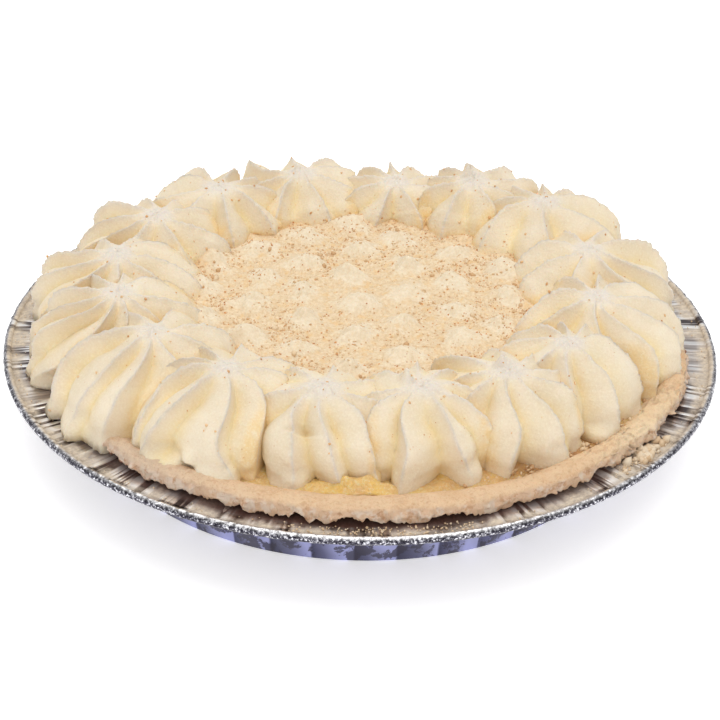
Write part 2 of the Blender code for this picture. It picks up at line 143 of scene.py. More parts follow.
# Rosettes: bearing in degrees, then peak radius, outer reach and peak height in mm
ROSETTE_TABLE = (
    (107, 81, 110, 54), (132, 79, 112, 56), (154, 81, 113, 56), (176, 84, 114, 56),
    (195, 83, 114, 56), (215, 81, 115, 56), (239, 80, 110, 56), (262, 80, 103, 56),
    (284, 80, 102, 56), (305, 81, 104, 56), (324, 82, 105, 56), (348, 80, 111, 56),
    (372, 80, 112, 56), (399, 84, 112, 56), (420, 81, 111, 56), (441, 76, 108, 53),
)
ROSETTES = len(ROSETTE_TABLE)

# Ridges of each rosette: their directions half way up, at the top and at the
# toe, in degrees
RIDGES = (
    ((138, 172, 135), (200, 212, 195), (250, 244, 252), (297, 290, 298), (335, 335, 335),
     (10, 30, 5), (55, 60, 52), (98, 105, 95)),
    ((116, 114, 118), (145, 136, 156), (76, 80, 75), (192, 206, 186), (245, 240, 248),
     (290, 285, 292), (330, 330, 330), (10, 10, 10), (42, 45, 40)),
    ((144, 150, 142), (172, 190, 168), (200, 228, 194), (245, 252, 245), (300, 290, 302),
     (350, 324, 348), (25, 20, 28), (70, 65, 72), (108, 108, 108)),
    ((160, 172, 156), (186, 222, 178), (222, 252, 208), (272, 278, 270), (322, 310, 320),
     (353, 353, 352), (18, 48, 12), (62, 75, 60), (112, 118, 110)),
    ((158, 176, 150), (189, 216, 176), (207, 240, 202), (241, 268, 213), (280, 290, 275),
     (321, 310, 327), (5, 340, 355), (39, 60, 35), (80, 90, 78), (122, 130, 120)),
    ((187, 181, 200), (229, 234, 225), (252, 270, 249), (307, 293, 307), (346, 335, 350),
     (25, 15, 25), (75, 70, 75), (128, 120, 130)),
    ((203, 172, 204), (222, 227, 213), (265, 280, 281), (299, 325, 298), (350, 359, 345),
     (30, 30, 30), (75, 75, 75), (120, 118, 120), (160, 150, 160)),
    ((174, 180, 188), (245, 222, 251), (276, 262, 284), (304, 318, 308), (353, 342, 335),
     (30, 25, 30), (78, 75, 80), (125, 125, 125)),
    ((182, 198, 180), (218, 213, 226), (262, 238, 257), (301, 298, 309), (342, 338, 338),
     (2, 24, 5), (48, 60, 45), (92, 100, 90), (138, 145, 138)),
    ((147, 155, 147), (182, 192, 182), (215, 224, 215), (277, 259, 273), (313, 293, 319),
     (350, 331, 342), (18, 5, 14), (58, 50, 55), (102, 95, 100)),
    ((128, 112, 128), (173, 155, 173), (221, 222, 220), (273, 258, 270), (310, 302, 314),
     (5, 28, 353), (60, 60, 60), (92, 88, 95)),
    ((181, 153, 188), (204, 216, 206), (268, 258, 275), (304, 277, 303), (339, 315, 331),
     (9, 358, 8), (28, 58, 22), (75, 85, 75), (118, 120, 118)),
    ((173, 158, 178), (199, 218, 204), (253, 248, 258), (318, 290, 330), (352, 322, 4),
     (30, 34, 20), (72, 75, 70), (115, 115, 118)),
    ((207, 187, 212), (270, 262, 275), (337, 323, 342), (12, 30, 8), (45, 55, 45),
     (85, 85, 85), (125, 125, 125), (165, 160, 165)),
    ((165, 168, 165), (190, 194, 194), (238, 235, 240), (292, 285, 295), (348, 322, 355),
     (22, 5, 28), (54, 48, 55), (95, 92, 95), (130, 130, 130)),
    ((123, 125, 128), (60, 75, 58), (15, 25, 12), (330, 335, 325), (290, 285, 292),
     (250, 252, 248), (205, 205, 205), (165, 160, 168), (92, 100, 90)),
)

# Ridges with a square shoulder: rosette and direction
SQUARE_RIDGES = (
    (1, 138), (2, 116), (3, 144), (10, 147), (14, 12), (15, 22), (15, 54), (15, 165), (13, 30),
)

# Where the groove lies between one ridge and the next: near 0 it follows the
# first ridge closely, near 1 the second
GROOVE_LEANS = (
    0.36, 0.64, 0.36, 0.34, 0.32, 0.28, 0.26, 0.36, 0.66, 0.30, 0.32, 0.34, 0.64, 0.36, 0.36, 0.36,
)

# Toes that spread into round pads: rosette, direction, half width in degrees
# and size
PADS = (
    (6, 222, 13, 0.0012), (7, 228, 15, 0.0026), (7, 266, 13, 0.0024),
    (7, 247, 5, -0.0034), (9, 312, 12, 0.0016),
    (9, 258, 10, 0.0010), (8, 250, 10, 0.0014), (8, 312, 10, 0.0012), (10, 318, 12, 0.0014),
    (11, 300, 12, 0.0014), (5, 205, 12, 0.0012),
)

# Folds that lie over a ridge's face: rosette, direction, half width in
# degrees, level and depth
NOTCHES = ((8, 247, 15, 0.79, 0.0026),)

# Torn spikes on some tips: rosette, offset from the peak and rise
SPIKES = (
    (9, -0.0048, 0.0030, 0.0048), (10, -0.0024, 0.0028, 0.0038),
    (15, -0.0024, 0.0020, 0.0045), (1, -0.0014, 0.0010, 0.0020),
)

# Fineness of the meshes
RIDGE_SAMPLES = 20
ROSETTE_RINGS = 58
CAP_RINGS = 12
CRUST_STEPS = 1200
CRUST_SPANS = (1, 4, 5, 3, 5, 6, 4, 6, 7, 5, 2)
RIM_STEPS = 2700
BEAD_RINGS = 17
FLAT_RINGS = 9
WALL_STEPS_PER_FLUTE = 16
WALL_RINGS = 14
CUSTARD_STEPS = 600
BED_STEPS = 620
BED_STEP = 0.00062


# Uneven values in space

def blobs(points, size, seed):
    """Smooth value noise from -1 to 1 at the points; size is that of one blob."""
    scaled = np.asarray(points) / size
    cell = np.floor(scaled).astype(np.int64)
    part = scaled - cell
    ease = part * part * (3.0 - 2.0 * part)
    total = np.zeros(scaled.shape[:-1])
    for corner in itertools.product((0, 1), repeat=3):
        key = cell + np.array(corner)
        code = key[..., 0] * 73856093 ^ key[..., 1] * 19349663 ^ key[..., 2] * 83492791
        code = (code ^ (seed * 2654435 + 977)) & 0x7FFFFFFF
        code = ((code ^ (code >> 13)) * 1274126177) & 0x7FFFFFFF
        value = ((code ^ (code >> 16)) & 0xFFFF) / 32767.5 - 1.0
        weight = np.ones_like(total)
        for axis, side in enumerate(corner):
            weight = weight * (ease[..., axis] if side else 1.0 - ease[..., axis])
        total = total + weight * value
    return total


def clouds(points, size, seed, octaves=3, fade=0.5):
    """Blobs of halving size laid over each other, from about -1 to 1."""
    total = 0.0
    strength = 1.0
    for octave in range(octaves):
        total = total + strength * blobs(points, size * 0.5 ** octave, seed + 31 * octave)
        strength *= fade
    return total


def ripple(bearing, seed, lowest, highest):
    """Smooth periodic unevenness from -1 to 1 round the pie."""
    draw = random.Random(seed)
    total = np.zeros_like(bearing)
    weight = 0.0
    for harmonic in range(lowest, highest + 1):
        strength = draw.uniform(0.5, 1.0)
        total = total + strength * np.sin(harmonic * bearing + draw.uniform(0.0, math.tau))
        weight += strength * strength
    return np.clip(total / math.sqrt(2.0 * weight), -1.0, 1.0)


def bearings(count):
    """Evenly spread bearings in radians."""
    return np.arange(count) * math.tau / count


def wrapped(degrees):
    """The same angle between -180 and 180 degrees."""
    return (degrees + 180.0) % 360.0 - 180.0


def bearing_distance(bearing, target_degrees):
    """How far each bearing is from the target, in degrees."""
    return np.abs(wrapped(np.degrees(bearing) - target_degrees))


def bump_at(distance, width, power=2):
    """A soft bell, 1 at no distance; a higher power gives it a flatter top."""
    return np.exp(-((distance / width) ** power))


def near(bearing, stretch):
    """A soft bell over one stretch of the ring."""
    middle, spread = stretch
    return bump_at(bearing_distance(bearing, middle), spread)


def within(value):
    """The value held between 0 and 1."""
    return np.clip(value, 0.0, 1.0)


def soft_step(value, low, high):
    """0 up to low, 1 from high on, and smooth between."""
    share = within((value - low) / (high - low))
    return share * share * (3.0 - 2.0 * share)


# Meshes

def turned(radius, height, bearing):
    """Points (rings, steps, 3) from radii and heights (rings, steps)."""
    radius, height, bearing = np.broadcast_arrays(radius, height, bearing)
    return np.stack((radius * np.cos(bearing), radius * np.sin(bearing), height), axis=-1)


def grid_faces(rings, steps):
    """Quads of a grid that closes round its steps."""
    index = np.arange(rings * steps).reshape(rings, steps)
    after = np.roll(index, -1, axis=1)
    quads = np.stack((index[:-1], after[:-1], after[1:], index[1:]), axis=-1)
    return quads.reshape(-1, 4)


def in_scene(name, data):
    """A new object in the scene."""
    thing = bpy.data.objects.new(name, data)
    bpy.context.scene.collection.objects.link(thing)
    return thing


def skin(name, grid, finish, node, first=None, last=None, marks=None):
    """One mesh piece over a grid of rings, closed at its ends by centre points."""
    rings, steps = grid.shape[:2]
    points = grid.reshape(-1, 3)
    faces = grid_faces(rings, steps).tolist()
    extra = 0
    for centre, ring_index, forward in ((first, 0, False), (last, rings - 1, True)):
        if centre is None:
            continue
        points = np.vstack((points, centre))
        tip = rings * steps + extra
        extra += 1
        for step in range(steps):
            here = ring_index * steps + step
            there = ring_index * steps + (step + 1) % steps
            faces.append((here, there, tip) if forward else (there, here, tip))
    values = {}
    for mark, value in (marks or {}).items():
        flat = np.broadcast_to(value, (rings, steps)).reshape(-1)
        values[mark] = np.concatenate((flat, np.full(extra, flat[-1])))
    return piece_of(name, points, faces, finish, node, values)


def piece_of(name, points, faces, finish, node, marks=None):
    """Make the mesh piece, let it ride, and let it stand for its node."""
    mesh = bpy.data.meshes.new(name)
    mesh.from_pydata(np.asarray(points).tolist(), [], faces)
    for mark, value in (marks or {}).items():
        layer = mesh.attributes.new(mark, "FLOAT", "POINT")
        layer.data.foreach_set("value", np.asarray(value, dtype=np.float32))
    mesh.materials.append(finish.material)
    mesh.shade_smooth()
    mesh.update()
    piece = in_scene(name, mesh)
    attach(piece, "root")
    if node:
        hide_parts(node)
    return piece


# Finishes

class Field:
    """One socket of a finish; sums and products on it add Math nodes."""

    def __init__(self, finish, socket):
        self.finish = finish
        self.socket = socket

    def math(self, operation, first, second):
        return self.finish.add("ShaderNodeMath", {"operation": operation}, {0: first, 1: second})

    def __add__(self, other):
        return self.math("ADD", self, other)

    def __sub__(self, other):
        return self.math("SUBTRACT", self, other)

    def __rsub__(self, other):
        return self.math("SUBTRACT", other, self)

    def __mul__(self, other):
        return self.math("MULTIPLY", self, other)

    __radd__ = __add__
    __rmul__ = __mul__

    def limited(self):
        """The value held between 0 and 1."""
        return self.math("MINIMUM", self.math("MAXIMUM", self, 0.0), 1.0)

    def above(self, edge, softness):
        """0 below the edge and 1 above it, over a soft step."""
        return self.finish.add("ShaderNodeMapRange", {"interpolation_type": "SMOOTHSTEP"}, {
            "Value": self, "From Min": edge - softness, "From Max": edge + softness,
        })


class Finish:
    """One material: its nodes, and a colour that is laid up tone by tone."""

    def __init__(self, name, **sockets):
        self.material = bpy.data.materials.new(name)
        self.material.use_nodes = True
        self.tree = self.material.node_tree
        self.shader = self.tree.nodes["Principled BSDF"]
        self.colour = None
        self.set(**sockets)

    def set(self, **sockets):
        """Fill the shader's own sockets, named with _ for each space."""
        self.fill(self.shader, {key.replace("_", " "): value for key, value in sockets.items()})

    def fill(self, node, sockets):
        """Link the fields to the node's sockets, and set plain values on them."""
        for key, value in sockets.items():
            if isinstance(value, Field):
                self.tree.links.new(value.socket, node.inputs[key])
            else:
                node.inputs[key].default_value = value

    def add(self, kind, settings=None, sockets=None, output=0):
        """Add one node, with its settings first, and return one of its outputs."""
        node = self.tree.nodes.new(kind)
        for key, value in (settings or {}).items():
            if key == "stops":
                self.set_stops(node.color_ramp.elements, value)
            else:
                setattr(node, key, value)
        self.fill(node, sockets or {})
        return Field(self, node.outputs[output])

    def set_stops(self, elements, stops):
        """Set the stops of a ramp: each is a share and the colour there."""
        while len(elements) < len(stops):
            elements.new(1.0)
        for element, (position, *tone) in zip(elements, stops):
            element.position = position
            element.color = screen_colour(*tone)

    def mark(self, name):
        """The value that the mesh holds under the name."""
        return self.add("ShaderNodeAttribute", {"attribute_name": name}, output="Fac")

    def place(self):
        return self.add("ShaderNodeTexCoord", output="Object")

    def grain(self, size, detail, roughness=0.5, squash=None):
        """Noise with grains of the size; squash scales each axis on its own."""
        place = self.place()
        if squash:
            place = self.add("ShaderNodeMapping", None, {"Vector": place, "Scale": squash})
        return self.add("ShaderNodeTexNoise", None, {
            "Vector": place, "Scale": 1.0 / size, "Detail": detail, "Roughness": roughness,
        })

    def specks(self, size, reach, softness):
        """1 close to each of many scattered points, and 0 elsewhere."""
        distance = self.add("ShaderNodeTexVoronoi", None, {
            "Vector": self.place(), "Scale": 1.0 / size,
        }, "Distance")
        return 1.0 - distance.above(reach, softness)

    def tones(self, share, *stops):
        """A run of colours over a share."""
        return self.add("ShaderNodeValToRGB", {"stops": stops}, {0: share})

    def mixed(self, share, first, second):
        return self.add("ShaderNodeMix", {"data_type": "RGBA"}, {0: share, 6: first, 7: second}, 2)

    def lay(self, share, tone):
        """Lay one more colour over the colour so far."""
        if not isinstance(tone, Field):
            tone = screen_colour(*tone)
        self.colour = self.mixed(share, self.colour, tone)

    def show(self, relief, depth, strength, **sockets):
        """Give the shader its colour, its relief and other sockets that vary."""
        normal = self.add("ShaderNodeBump", None, {
            "Height": relief, "Distance": depth, "Strength": strength,
        })
        self.set(Base_Color=self.colour, Normal=normal, **sockets)
        return self


def screen_colour(red, green, blue):
    """A colour as it is seen on screen, 0 to 255, as linear light."""
    parts = (red / 255.0, green / 255.0, blue / 255.0)
    return (*(p / 12.92 if p <= 0.04045 else ((p + 0.055) / 1.055) ** 2.4 for p in parts), 1.0)


def rosette_cream():
    """Whipped cream: pale, with painted warm shade in the grooves, seams and inner foot, painted
    cool grey shade on the crests and a painted cool tint of the light from above on the tips.
    """
    finish = Finish("rosette cream", Roughness=0.8, Subsurface_Weight=0.14,
                    Subsurface_Scale=0.003, Subsurface_Radius=CREAM_GLOW,
                    Specular_IOR_Level=0.12)
    crest = finish.mark("crest")
    fleck = finish.grain(0.0016, 3.0, 0.6)
    powder = finish.grain(0.0007, 3.0, 0.7)
    warm = finish.grain(0.0055, 2.0, 0.6)
    finish.colour = finish.tones(
        finish.grain(0.016, 2.0), (0.35, 233, 217, 189), (0.65, 240, 226, 202))
    # Painted warm shade in the grooves
    finish.lay(finish.mark("groove") * (0.30 + warm * 0.80), (244, 221, 164))
    # Painted warm shade in the crease where two rosettes meet
    finish.lay(finish.mark("seam") * (warm.above(0.44, 0.12) * 0.45 + 0.30), (240, 208, 148))
    # Painted warm shade at the inner foot, where the rosette meets the bed
    finish.lay(
        finish.mark("inner_foot") * (warm.above(0.42, 0.16) * 0.80 + 0.40), (240, 204, 144))
    # Painted cool grey shade along the crests
    finish.lay(crest * crest * (0.20 + fleck * 0.8), (218, 209, 203))
    # Painted cool tint of the light from above on the tip
    finish.lay(finish.mark("tip") * 0.8, (228, 220, 211))
    finish.lay(powder.above(0.58, 0.08) * 0.45, (245, 234, 211))
    finish.lay((1.0 - powder.above(0.40, 0.10)) * 0.22, (219, 198, 163))
    finish.lay(fleck.above(0.68, 0.05) * 0.22, (234, 203, 146))
    return finish.show(finish.grain(0.0009, 4.0, 0.7), 0.0005, 0.8)


def bed_cream():
    """The bed's cream: pale on its peaks, with fine crumb dust and painted darker shade in the
    hollows elsewhere.
    """
    finish = Finish("bed cream", Roughness=0.85, Subsurface_Weight=0.05,
                    Subsurface_Scale=0.002, Subsurface_Radius=CREAM_GLOW,
                    Specular_IOR_Level=0.15)
    dusted = finish.mark("dusted")
    patch = finish.grain(0.0055, 3.0, 0.6)
    powder = finish.grain(0.0010, 4.0, 0.7)
    amber = finish.grain(0.0032, 3.0, 0.65).above(0.58, 0.08)
    dust_and_shade_tone = finish.tones(
        powder, (0.34, 216, 189, 150), (0.50, 229, 204, 168), (0.66, 240, 221, 189))
    finish.colour = finish.tones(powder, (0.36, 231, 214, 185), (0.64, 242, 229, 205))
    # Crumb dust, with painted shade in the hollows between the peaks
    finish.lay(dusted * (0.55 + patch * 0.8), dust_and_shade_tone)
    finish.lay(dusted * amber * 0.45, (233, 190, 128))
    finish.lay(finish.mark("edge") * 0.6, (221, 178, 120))
    seeded = finish.specks(0.0012, 0.17, 0.05) * patch.above(0.50, 0.10) * dusted
    finish.lay(seeded * 0.6, (190, 138, 88))
    return finish.show(powder, 0.0004, 0.7)


def pastry():
    """Sandy shortcrust: peach on top with painted light on one stretch, greyer and smeared white
    down its side, with painted dark shade under its lower lip.
    """
    finish = Finish("pastry", Roughness=0.9, Subsurface_Weight=0.05,
                    Subsurface_Scale=0.002, Specular_IOR_Level=0.15)
    side = finish.mark("side")
    drift = finish.grain(0.009, 3.0, 0.6)
    sand = finish.grain(0.0007, 4.0, 0.75)
    smear = finish.grain(0.0035, 3.0, 0.6, (1.0, 1.0, 0.6))
    browned = finish.grain(0.0030, 3.0, 0.7).above(0.60, 0.05)
    finish.colour = finish.tones(drift, (0.30, 228, 190, 150), (0.70, 240, 208, 171))
    finish.lay(finish.mark("pale") * 0.7, (218, 197, 176))
    # Painted light: a brighter stretch of the crust's top
    finish.lay(finish.mark("sunny") * (0.35 + drift * 0.6), (250, 228, 190))
    finish.lay(sand.above(0.58, 0.10) * 0.55, (238, 212, 178))
    finish.lay((1.0 - sand.above(0.40, 0.08)) * 0.40, (196, 148, 106))
    finish.lay(side * 0.55, (212, 178, 153))
    finish.lay(side * smear.above(0.53, 0.06) * 0.75, (230, 212, 194))
    finish.lay(browned * (0.25 + side * 0.25), (190, 136, 94))
    # Painted dark shade under the lower lip
    finish.lay(finish.mark("lip") * 0.8, (160, 110, 90))
    return finish.show(sand, 0.0006, 0.9)


def custard():
    """Moist golden custard with paler grains."""
    finish = Finish("custard", Roughness=0.42, Subsurface_Weight=0.30,
                    Subsurface_Scale=0.003, Subsurface_Radius=CUSTARD_GLOW,
                    Specular_IOR_Level=0.4)
    grain = finish.grain(0.0009, 4.0, 0.75)
    soaked = finish.grain(0.0022, 3.0, 0.7)
    finish.colour = finish.tones(
        finish.grain(0.0075, 3.0, 0.6),
        (0.30, 222, 178, 120), (0.50, 242, 202, 134), (0.70, 250, 208, 118))
    finish.lay(grain.above(0.56, 0.06) * 0.7, (246, 224, 178))
    finish.lay((1.0 - grain.above(0.40, 0.08)) * 0.3, (190, 140, 84))
    finish.lay(finish.mark("moist") * (0.3 + soaked), (196, 142, 96))
    return finish.show(grain, 0.0007, 0.9)


def foil_rim():
    """Crimped foil: painted reflection streaks where it is bare, dull beige where flour dust lies,
    painted brown shade and a painted dark shadow under the crust, and a painted highlight and dark
    reflection on the bead.
    """
    finish = Finish("foil rim")
    bead = finish.mark("bead")
    pit = finish.mark("pit")
    mottle = finish.grain(0.0016, 4.0, 0.7)
    speckle = finish.grain(0.0009, 3.0, 0.75)
    flour = (finish.mark("smear") * (0.35 + mottle * 1.1)).limited() * (1.0 - bead * 0.9)
    # Bead tones: painted dark reflection below, painted bright highlight above, both speckled
    low = finish.tones(speckle, (0.40, 38, 36, 46), (0.53, 92, 90, 102), (0.60, 232, 232, 238))
    high = finish.tones(
        speckle, (0.34, 128, 124, 126), (0.46, 216, 214, 214), (0.60, 252, 252, 252))
    brown = finish.tones(mottle, (0.36, 140, 106, 94), (0.66, 190, 160, 146))
    # Painted reflection streaks of the bare foil, from dark to bright
    finish.colour = finish.tones(
        finish.mark("streak"), (0.16, 88, 80, 82), (0.38, 154, 144, 141),
        (0.62, 196, 189, 186), (0.80, 252, 252, 252))
    # Painted highlight and dark reflection on the bead
    finish.lay(bead, finish.mixed(finish.mark("shine"), low, high))
    finish.lay(flour, finish.tones(mottle, (0.36, 184, 169, 150), (0.64, 221, 207, 186)))
    # Painted brown shade and reflection of the crust, mottled
    finish.lay(finish.mark("shade") * 0.95, brown)
    # Painted dark shadow under the crust
    finish.lay(pit * 0.8, (84, 54, 46))
    bare = (1.0 - flour * 0.95) * (1.0 - pit * 0.9)
    return finish.show(
        speckle, 0.0001, 0.4, Metallic=bare.limited(), Roughness=0.30 + flour * 0.5)


def foil_wall():
    """Foil of the fluted wall: painted violet grey reflections that brighten across each flute,
    with dark blotches.
    """
    finish = Finish("foil wall", Metallic=0.85, Roughness=0.38)
    blotch = finish.grain(0.0060, 4.0, 0.7, (1.0, 1.0, 0.7))
    # Painted reflections: the tone runs from dark to bright across each flute
    share = finish.mark("across") * 0.55 + finish.grain(0.030, 2.0) * 0.75 - 0.08
    finish.colour = finish.tones(
        share.limited(), (0.20, 62, 61, 76), (0.45, 104, 105, 136), (0.75, 174, 177, 220))
    finish.lay(blotch.above(0.52, 0.03) * 0.85, (70, 66, 78))
    return finish.show(finish.grain(0.0018, 3.0, 0.6), 0.0001, 0.4)


def crumb_finish(name):
    """Dry crumbs that take their tone from one value each."""
    finish = Finish(name, Roughness=0.8, Specular_IOR_Level=0.2)
    grain = finish.grain(0.0004, 2.0)
    finish.colour = finish.tones(finish.mark("tone") * 0.85 + grain * 0.15, *CRUMB_TONES[name])
    return finish.show(grain, 0.0001, 0.5)


# Foil tin

def flute(bearing, share):
    """Radial offset of the pressed wall: round ribs with a sharp crease between."""
    rib = np.abs(np.sin(TIN_FLUTES * bearing / 2.0))
    return share * TIN_FLUTE_DEPTH * (2.0 * rib - 1.0)


def make_wall(finish):
    """Base and fluted wall of the tin, as one thin closed shell."""
    bearing = bearings(TIN_FLUTES * WALL_STEPS_PER_FLUTE)[None, :]
    outer = [(BASE_FLAT_RADIUS, 0.0, 0.0), (TIN_BASE_RADIUS - 0.0014, 0.0, 0.0)]
    for step in range(1, 4):
        turn = math.pi / 2.0 * step / 3.0
        outer.append((
            TIN_BASE_RADIUS - 0.0008 + 0.0008 * math.sin(turn),
            WALL_START * (1.0 - math.cos(turn)), 0.0,
        ))
    for step in range(1, WALL_RINGS + 1):
        share = step / WALL_RINGS
        depth = min(1.0, share * 4.5) * min(1.0, (1.02 - share) * 6.0)
        outer.append((
            TIN_BASE_RADIUS + (WALL_TOP_RADIUS - TIN_BASE_RADIUS) * share,
            WALL_START + (WALL_TOP - WALL_START) * share, depth,
        ))
    radius, height, depth = (np.array(column)[:, None] for column in zip(*outer))
    crease = 0.00012 * clouds(turned(0.1, height * 0.6, bearing), 0.004, 7, 2)
    offset = flute(bearing, depth) - depth * 0.0006 + crease * (height > WALL_START)
    outside = turned(radius + offset, height, bearing)
    inside = turned(radius - FOIL_THICKNESS + offset, height + FOIL_THICKNESS, bearing)[::-1]
    grid = np.concatenate((outside, inside))
    # Share of the way across each flute, for the painted reflections on the wall
    across = (bearing * TIN_FLUTES / math.tau) % 1.0
    return skin("tin_wall", grid, finish, "tin",
                (0.0, 0.0, 0.0), (0.0, 0.0, FOIL_THICKNESS), {"across": across})


def rim_rings():
    """Rings of the rim, as columns: radius, height, crimp, bead, painted highlight on the bead and
    upper side.
    """
    bead_middle = TIN_RIM_RADIUS - BEAD_RADIUS
    bead_height = TIN_FLAT_HEIGHT - 0.0003
    underside = TIN_FLAT_HEIGHT - 0.0004
    inner = TIN_FLAT_INNER - 0.0008
    flat_outer = bead_middle - BEAD_RADIUS * 0.9
    rows = [(inner, underside, 0.0, 0.0, 0.0, 1.0), (flat_outer, underside, 0.0, 0.0, 0.0, 1.0)]
    for degrees in np.linspace(-150.0, 150.0, BEAD_RINGS):
        turn = math.radians(degrees)
        # Painted highlight: a bright line along the bead
        shine = 0.5 + 0.5 * math.tanh((degrees - 50.0) / 14.0)
        bare = min(1.0, max(0.0, (124.0 - degrees) / 34.0))
        upper = min(1.0, max(0.0, (degrees - 64.0) / 26.0))
        rows.append((bead_middle + BEAD_RADIUS * math.cos(turn),
                     bead_height + BEAD_RADIUS * math.sin(turn), 0.0, bare, shine, upper))
    for share in np.linspace(0.0, 1.0, FLAT_RINGS):
        crimp = math.sin(math.pi * (0.12 + 0.80 * share)) ** 0.5
        rows.append((flat_outer + (inner - flat_outer) * share, TIN_FLAT_HEIGHT,
                     crimp, 0.0, 0.0, 1.0))
    rows.append(rows[0])
    return (np.array(column)[:, None] for column in zip(*rows))


def make_rim(finish):
    """Flat rim with its radial crimps and the rolled bead."""
    bearing = bearings(RIM_STEPS)[None, :]
    radius, height, crimp, bead, shine, upper = rim_rings()
    arc = turned(RIM_MIDDLE, 0.0, bearing)
    flat = turned(radius, 0.0, bearing)
    fan = turned(RIM_MIDDLE, CRIMP_FAN * radius, bearing)
    creases = 0.8 * blobs(fan, 0.00075, 3) + 0.8 * blobs(fan, 0.0013, 4)
    lift = 0.00013 * np.sign(creases) * np.abs(creases) ** 0.8 * crimp
    dent = 0.00035 * clouds(flat, 0.016, 6, 2) * crimp
    crinkle = 0.00020 * clouds(turned(radius, height * 2.0, bearing), 0.0016, 8, 3) * bead
    grid = turned(radius + crinkle * 0.5, height + lift + dent + crinkle, bearing)

    # Painted reflections: bare foil streaked light and dark in bunches, with dust between them and
    # beside the bead
    front = near(bearing, RIM_FRONT)
    # Stretch that faces the camera, where the painted highlight on the bead is strongest
    facing = near(bearing, RIM_FACING)
    bead = bead * (1.0 - upper * (1.0 - facing))
    bunched = within(clouds(arc, 0.0075, 5, 2) * 2.4)
    contrast = (0.12 + 0.95 * bunched) * (1.0 - 0.80 * front)
    streak = 0.62 - 0.09 * front + contrast * creases * 2.2
    dust_from = DUST_EDGE + 0.0010 * clouds(arc, 0.010, 10, 2)
    outer_dust = within((radius - dust_from) / 0.0014)
    smear = (0.44 + 0.70 * clouds(flat, 0.0075, 9, 3) - 0.75 * bunched
             + 0.75 * outer_dust * (1.0 - 0.45 * front)
             - 0.35 * bump_at(radius - SHADE_EDGE, 0.0026)
             + 0.9 * near(bearing, CRUMB_HEAP) * crimp)

    # Painted brown shade and reflection of the crust on the rim, and a painted dark shadow under
    # the crust
    further = 0.0010 * front
    shade = within((SHADE_EDGE + further - radius) / 0.0018)
    shade = within(shade * (0.08 + 0.72 * front) + 0.42 * front * (1.0 - outer_dust))
    pit = 1.0 - soft_step(radius, CRUST_SHADOW_EDGES[0] + further, CRUST_SHADOW_EDGES[1] + further)
    marks = {
        "streak": within(streak), "smear": within(smear) * (1.0 - bead), "bead": bead,
        "shine": shine * (0.20 + 0.80 * facing), "shade": shade * (1.0 - bead),
        "pit": pit * near(bearing, RIM_CRUST_SHADOW),
    }
    return skin("tin_rim", grid, finish, "tin", marks=marks)


# Crust and custard

def covered_share(bearing):
    """1 where the cream hangs over the crust, falling to 0 on either side."""
    away = bearing_distance(bearing, CRUST_LOW_BEARING)
    return 1.0 / (1.0 + (away / CRUST_LOW_SPREAD) ** 20)


def hangs_over(bearing):
    """Whether a rosette at the bearing hangs over the crust's edge."""
    return covered_share(bearing) > 0.5


def crust_crown(bearing):
    """Height of the crust's top face, low where the cream hangs over it."""
    level = CRUST_TOP + (CRUST_TOP_LOW - CRUST_TOP) * covered_share(bearing)
    return level + 0.0005 * ripple(bearing, SEED + 1, 3, 14)


def crust_reach(bearing):
    """Radius of the crust's outer face."""
    return (CRUST_REACH + 0.0010 * near(bearing, CRUST_FRONT)
            - CRUST_COVERED_INSET * covered_share(bearing)
            + 0.0006 * ripple(bearing, SEED + 2, 5, 22))


def smooth_rows(rows, counts):
    """Rows of points joined by smooth curves, with some steps in each span."""
    rows = np.asarray(rows)
    padded = np.concatenate((2 * rows[:1] - rows[1:2], rows, 2 * rows[-1:] - rows[-2:-1]))
    made = []
    for span, count in enumerate(counts):
        before, start, end, after = padded[span:span + 4]
        for step in range(count):
            share = step / count
            made.append(0.5 * (
                2.0 * start + (end - before) * share
                + (2.0 * before - 5.0 * start + 4.0 * end - after) * share ** 2
                + (3.0 * start - before - 3.0 * end + after) * share ** 3
            ))
    made.append(rows[-1])
    return np.array(made)


def crust_section(crown, reach, low):
    """Smooth section of the crust, from its foot out, up and in to the custard."""
    flat = np.zeros_like(crown)
    section = [
        (flat + 0.0960, flat + 0.0250),
        (flat + TIN_FLAT_INNER - 0.0012, flat + TIN_FLAT_HEIGHT + 0.0005),
        (reach - 0.0024, np.maximum(low - 0.0004, 0.0287)),
        (reach + 0.0002, low),
        (reach + 0.0006, low + 0.0008),
        (reach + 0.0004, (low + crown) / 2.0),
        (reach - 0.0001, crown - 0.0008),
        (reach - 0.0012, crown - 0.0001),
        (np.maximum(reach - 0.0042, CRUST_INNER_RADIUS + 0.0020), crown + 0.0001),
        (flat + CRUST_INNER_RADIUS + 0.0012, np.maximum(crown - 0.0012, FILLING_LEVEL + 0.0002)),
        (flat + CRUST_INNER_RADIUS - 0.0002, flat + FILLING_LEVEL + 0.0001),
        (flat + 0.0985, flat + 0.0290),
    ]
    rows = smooth_rows([np.stack(point) for point in section], CRUST_SPANS)
    return rows[:, 0], rows[:, 1]


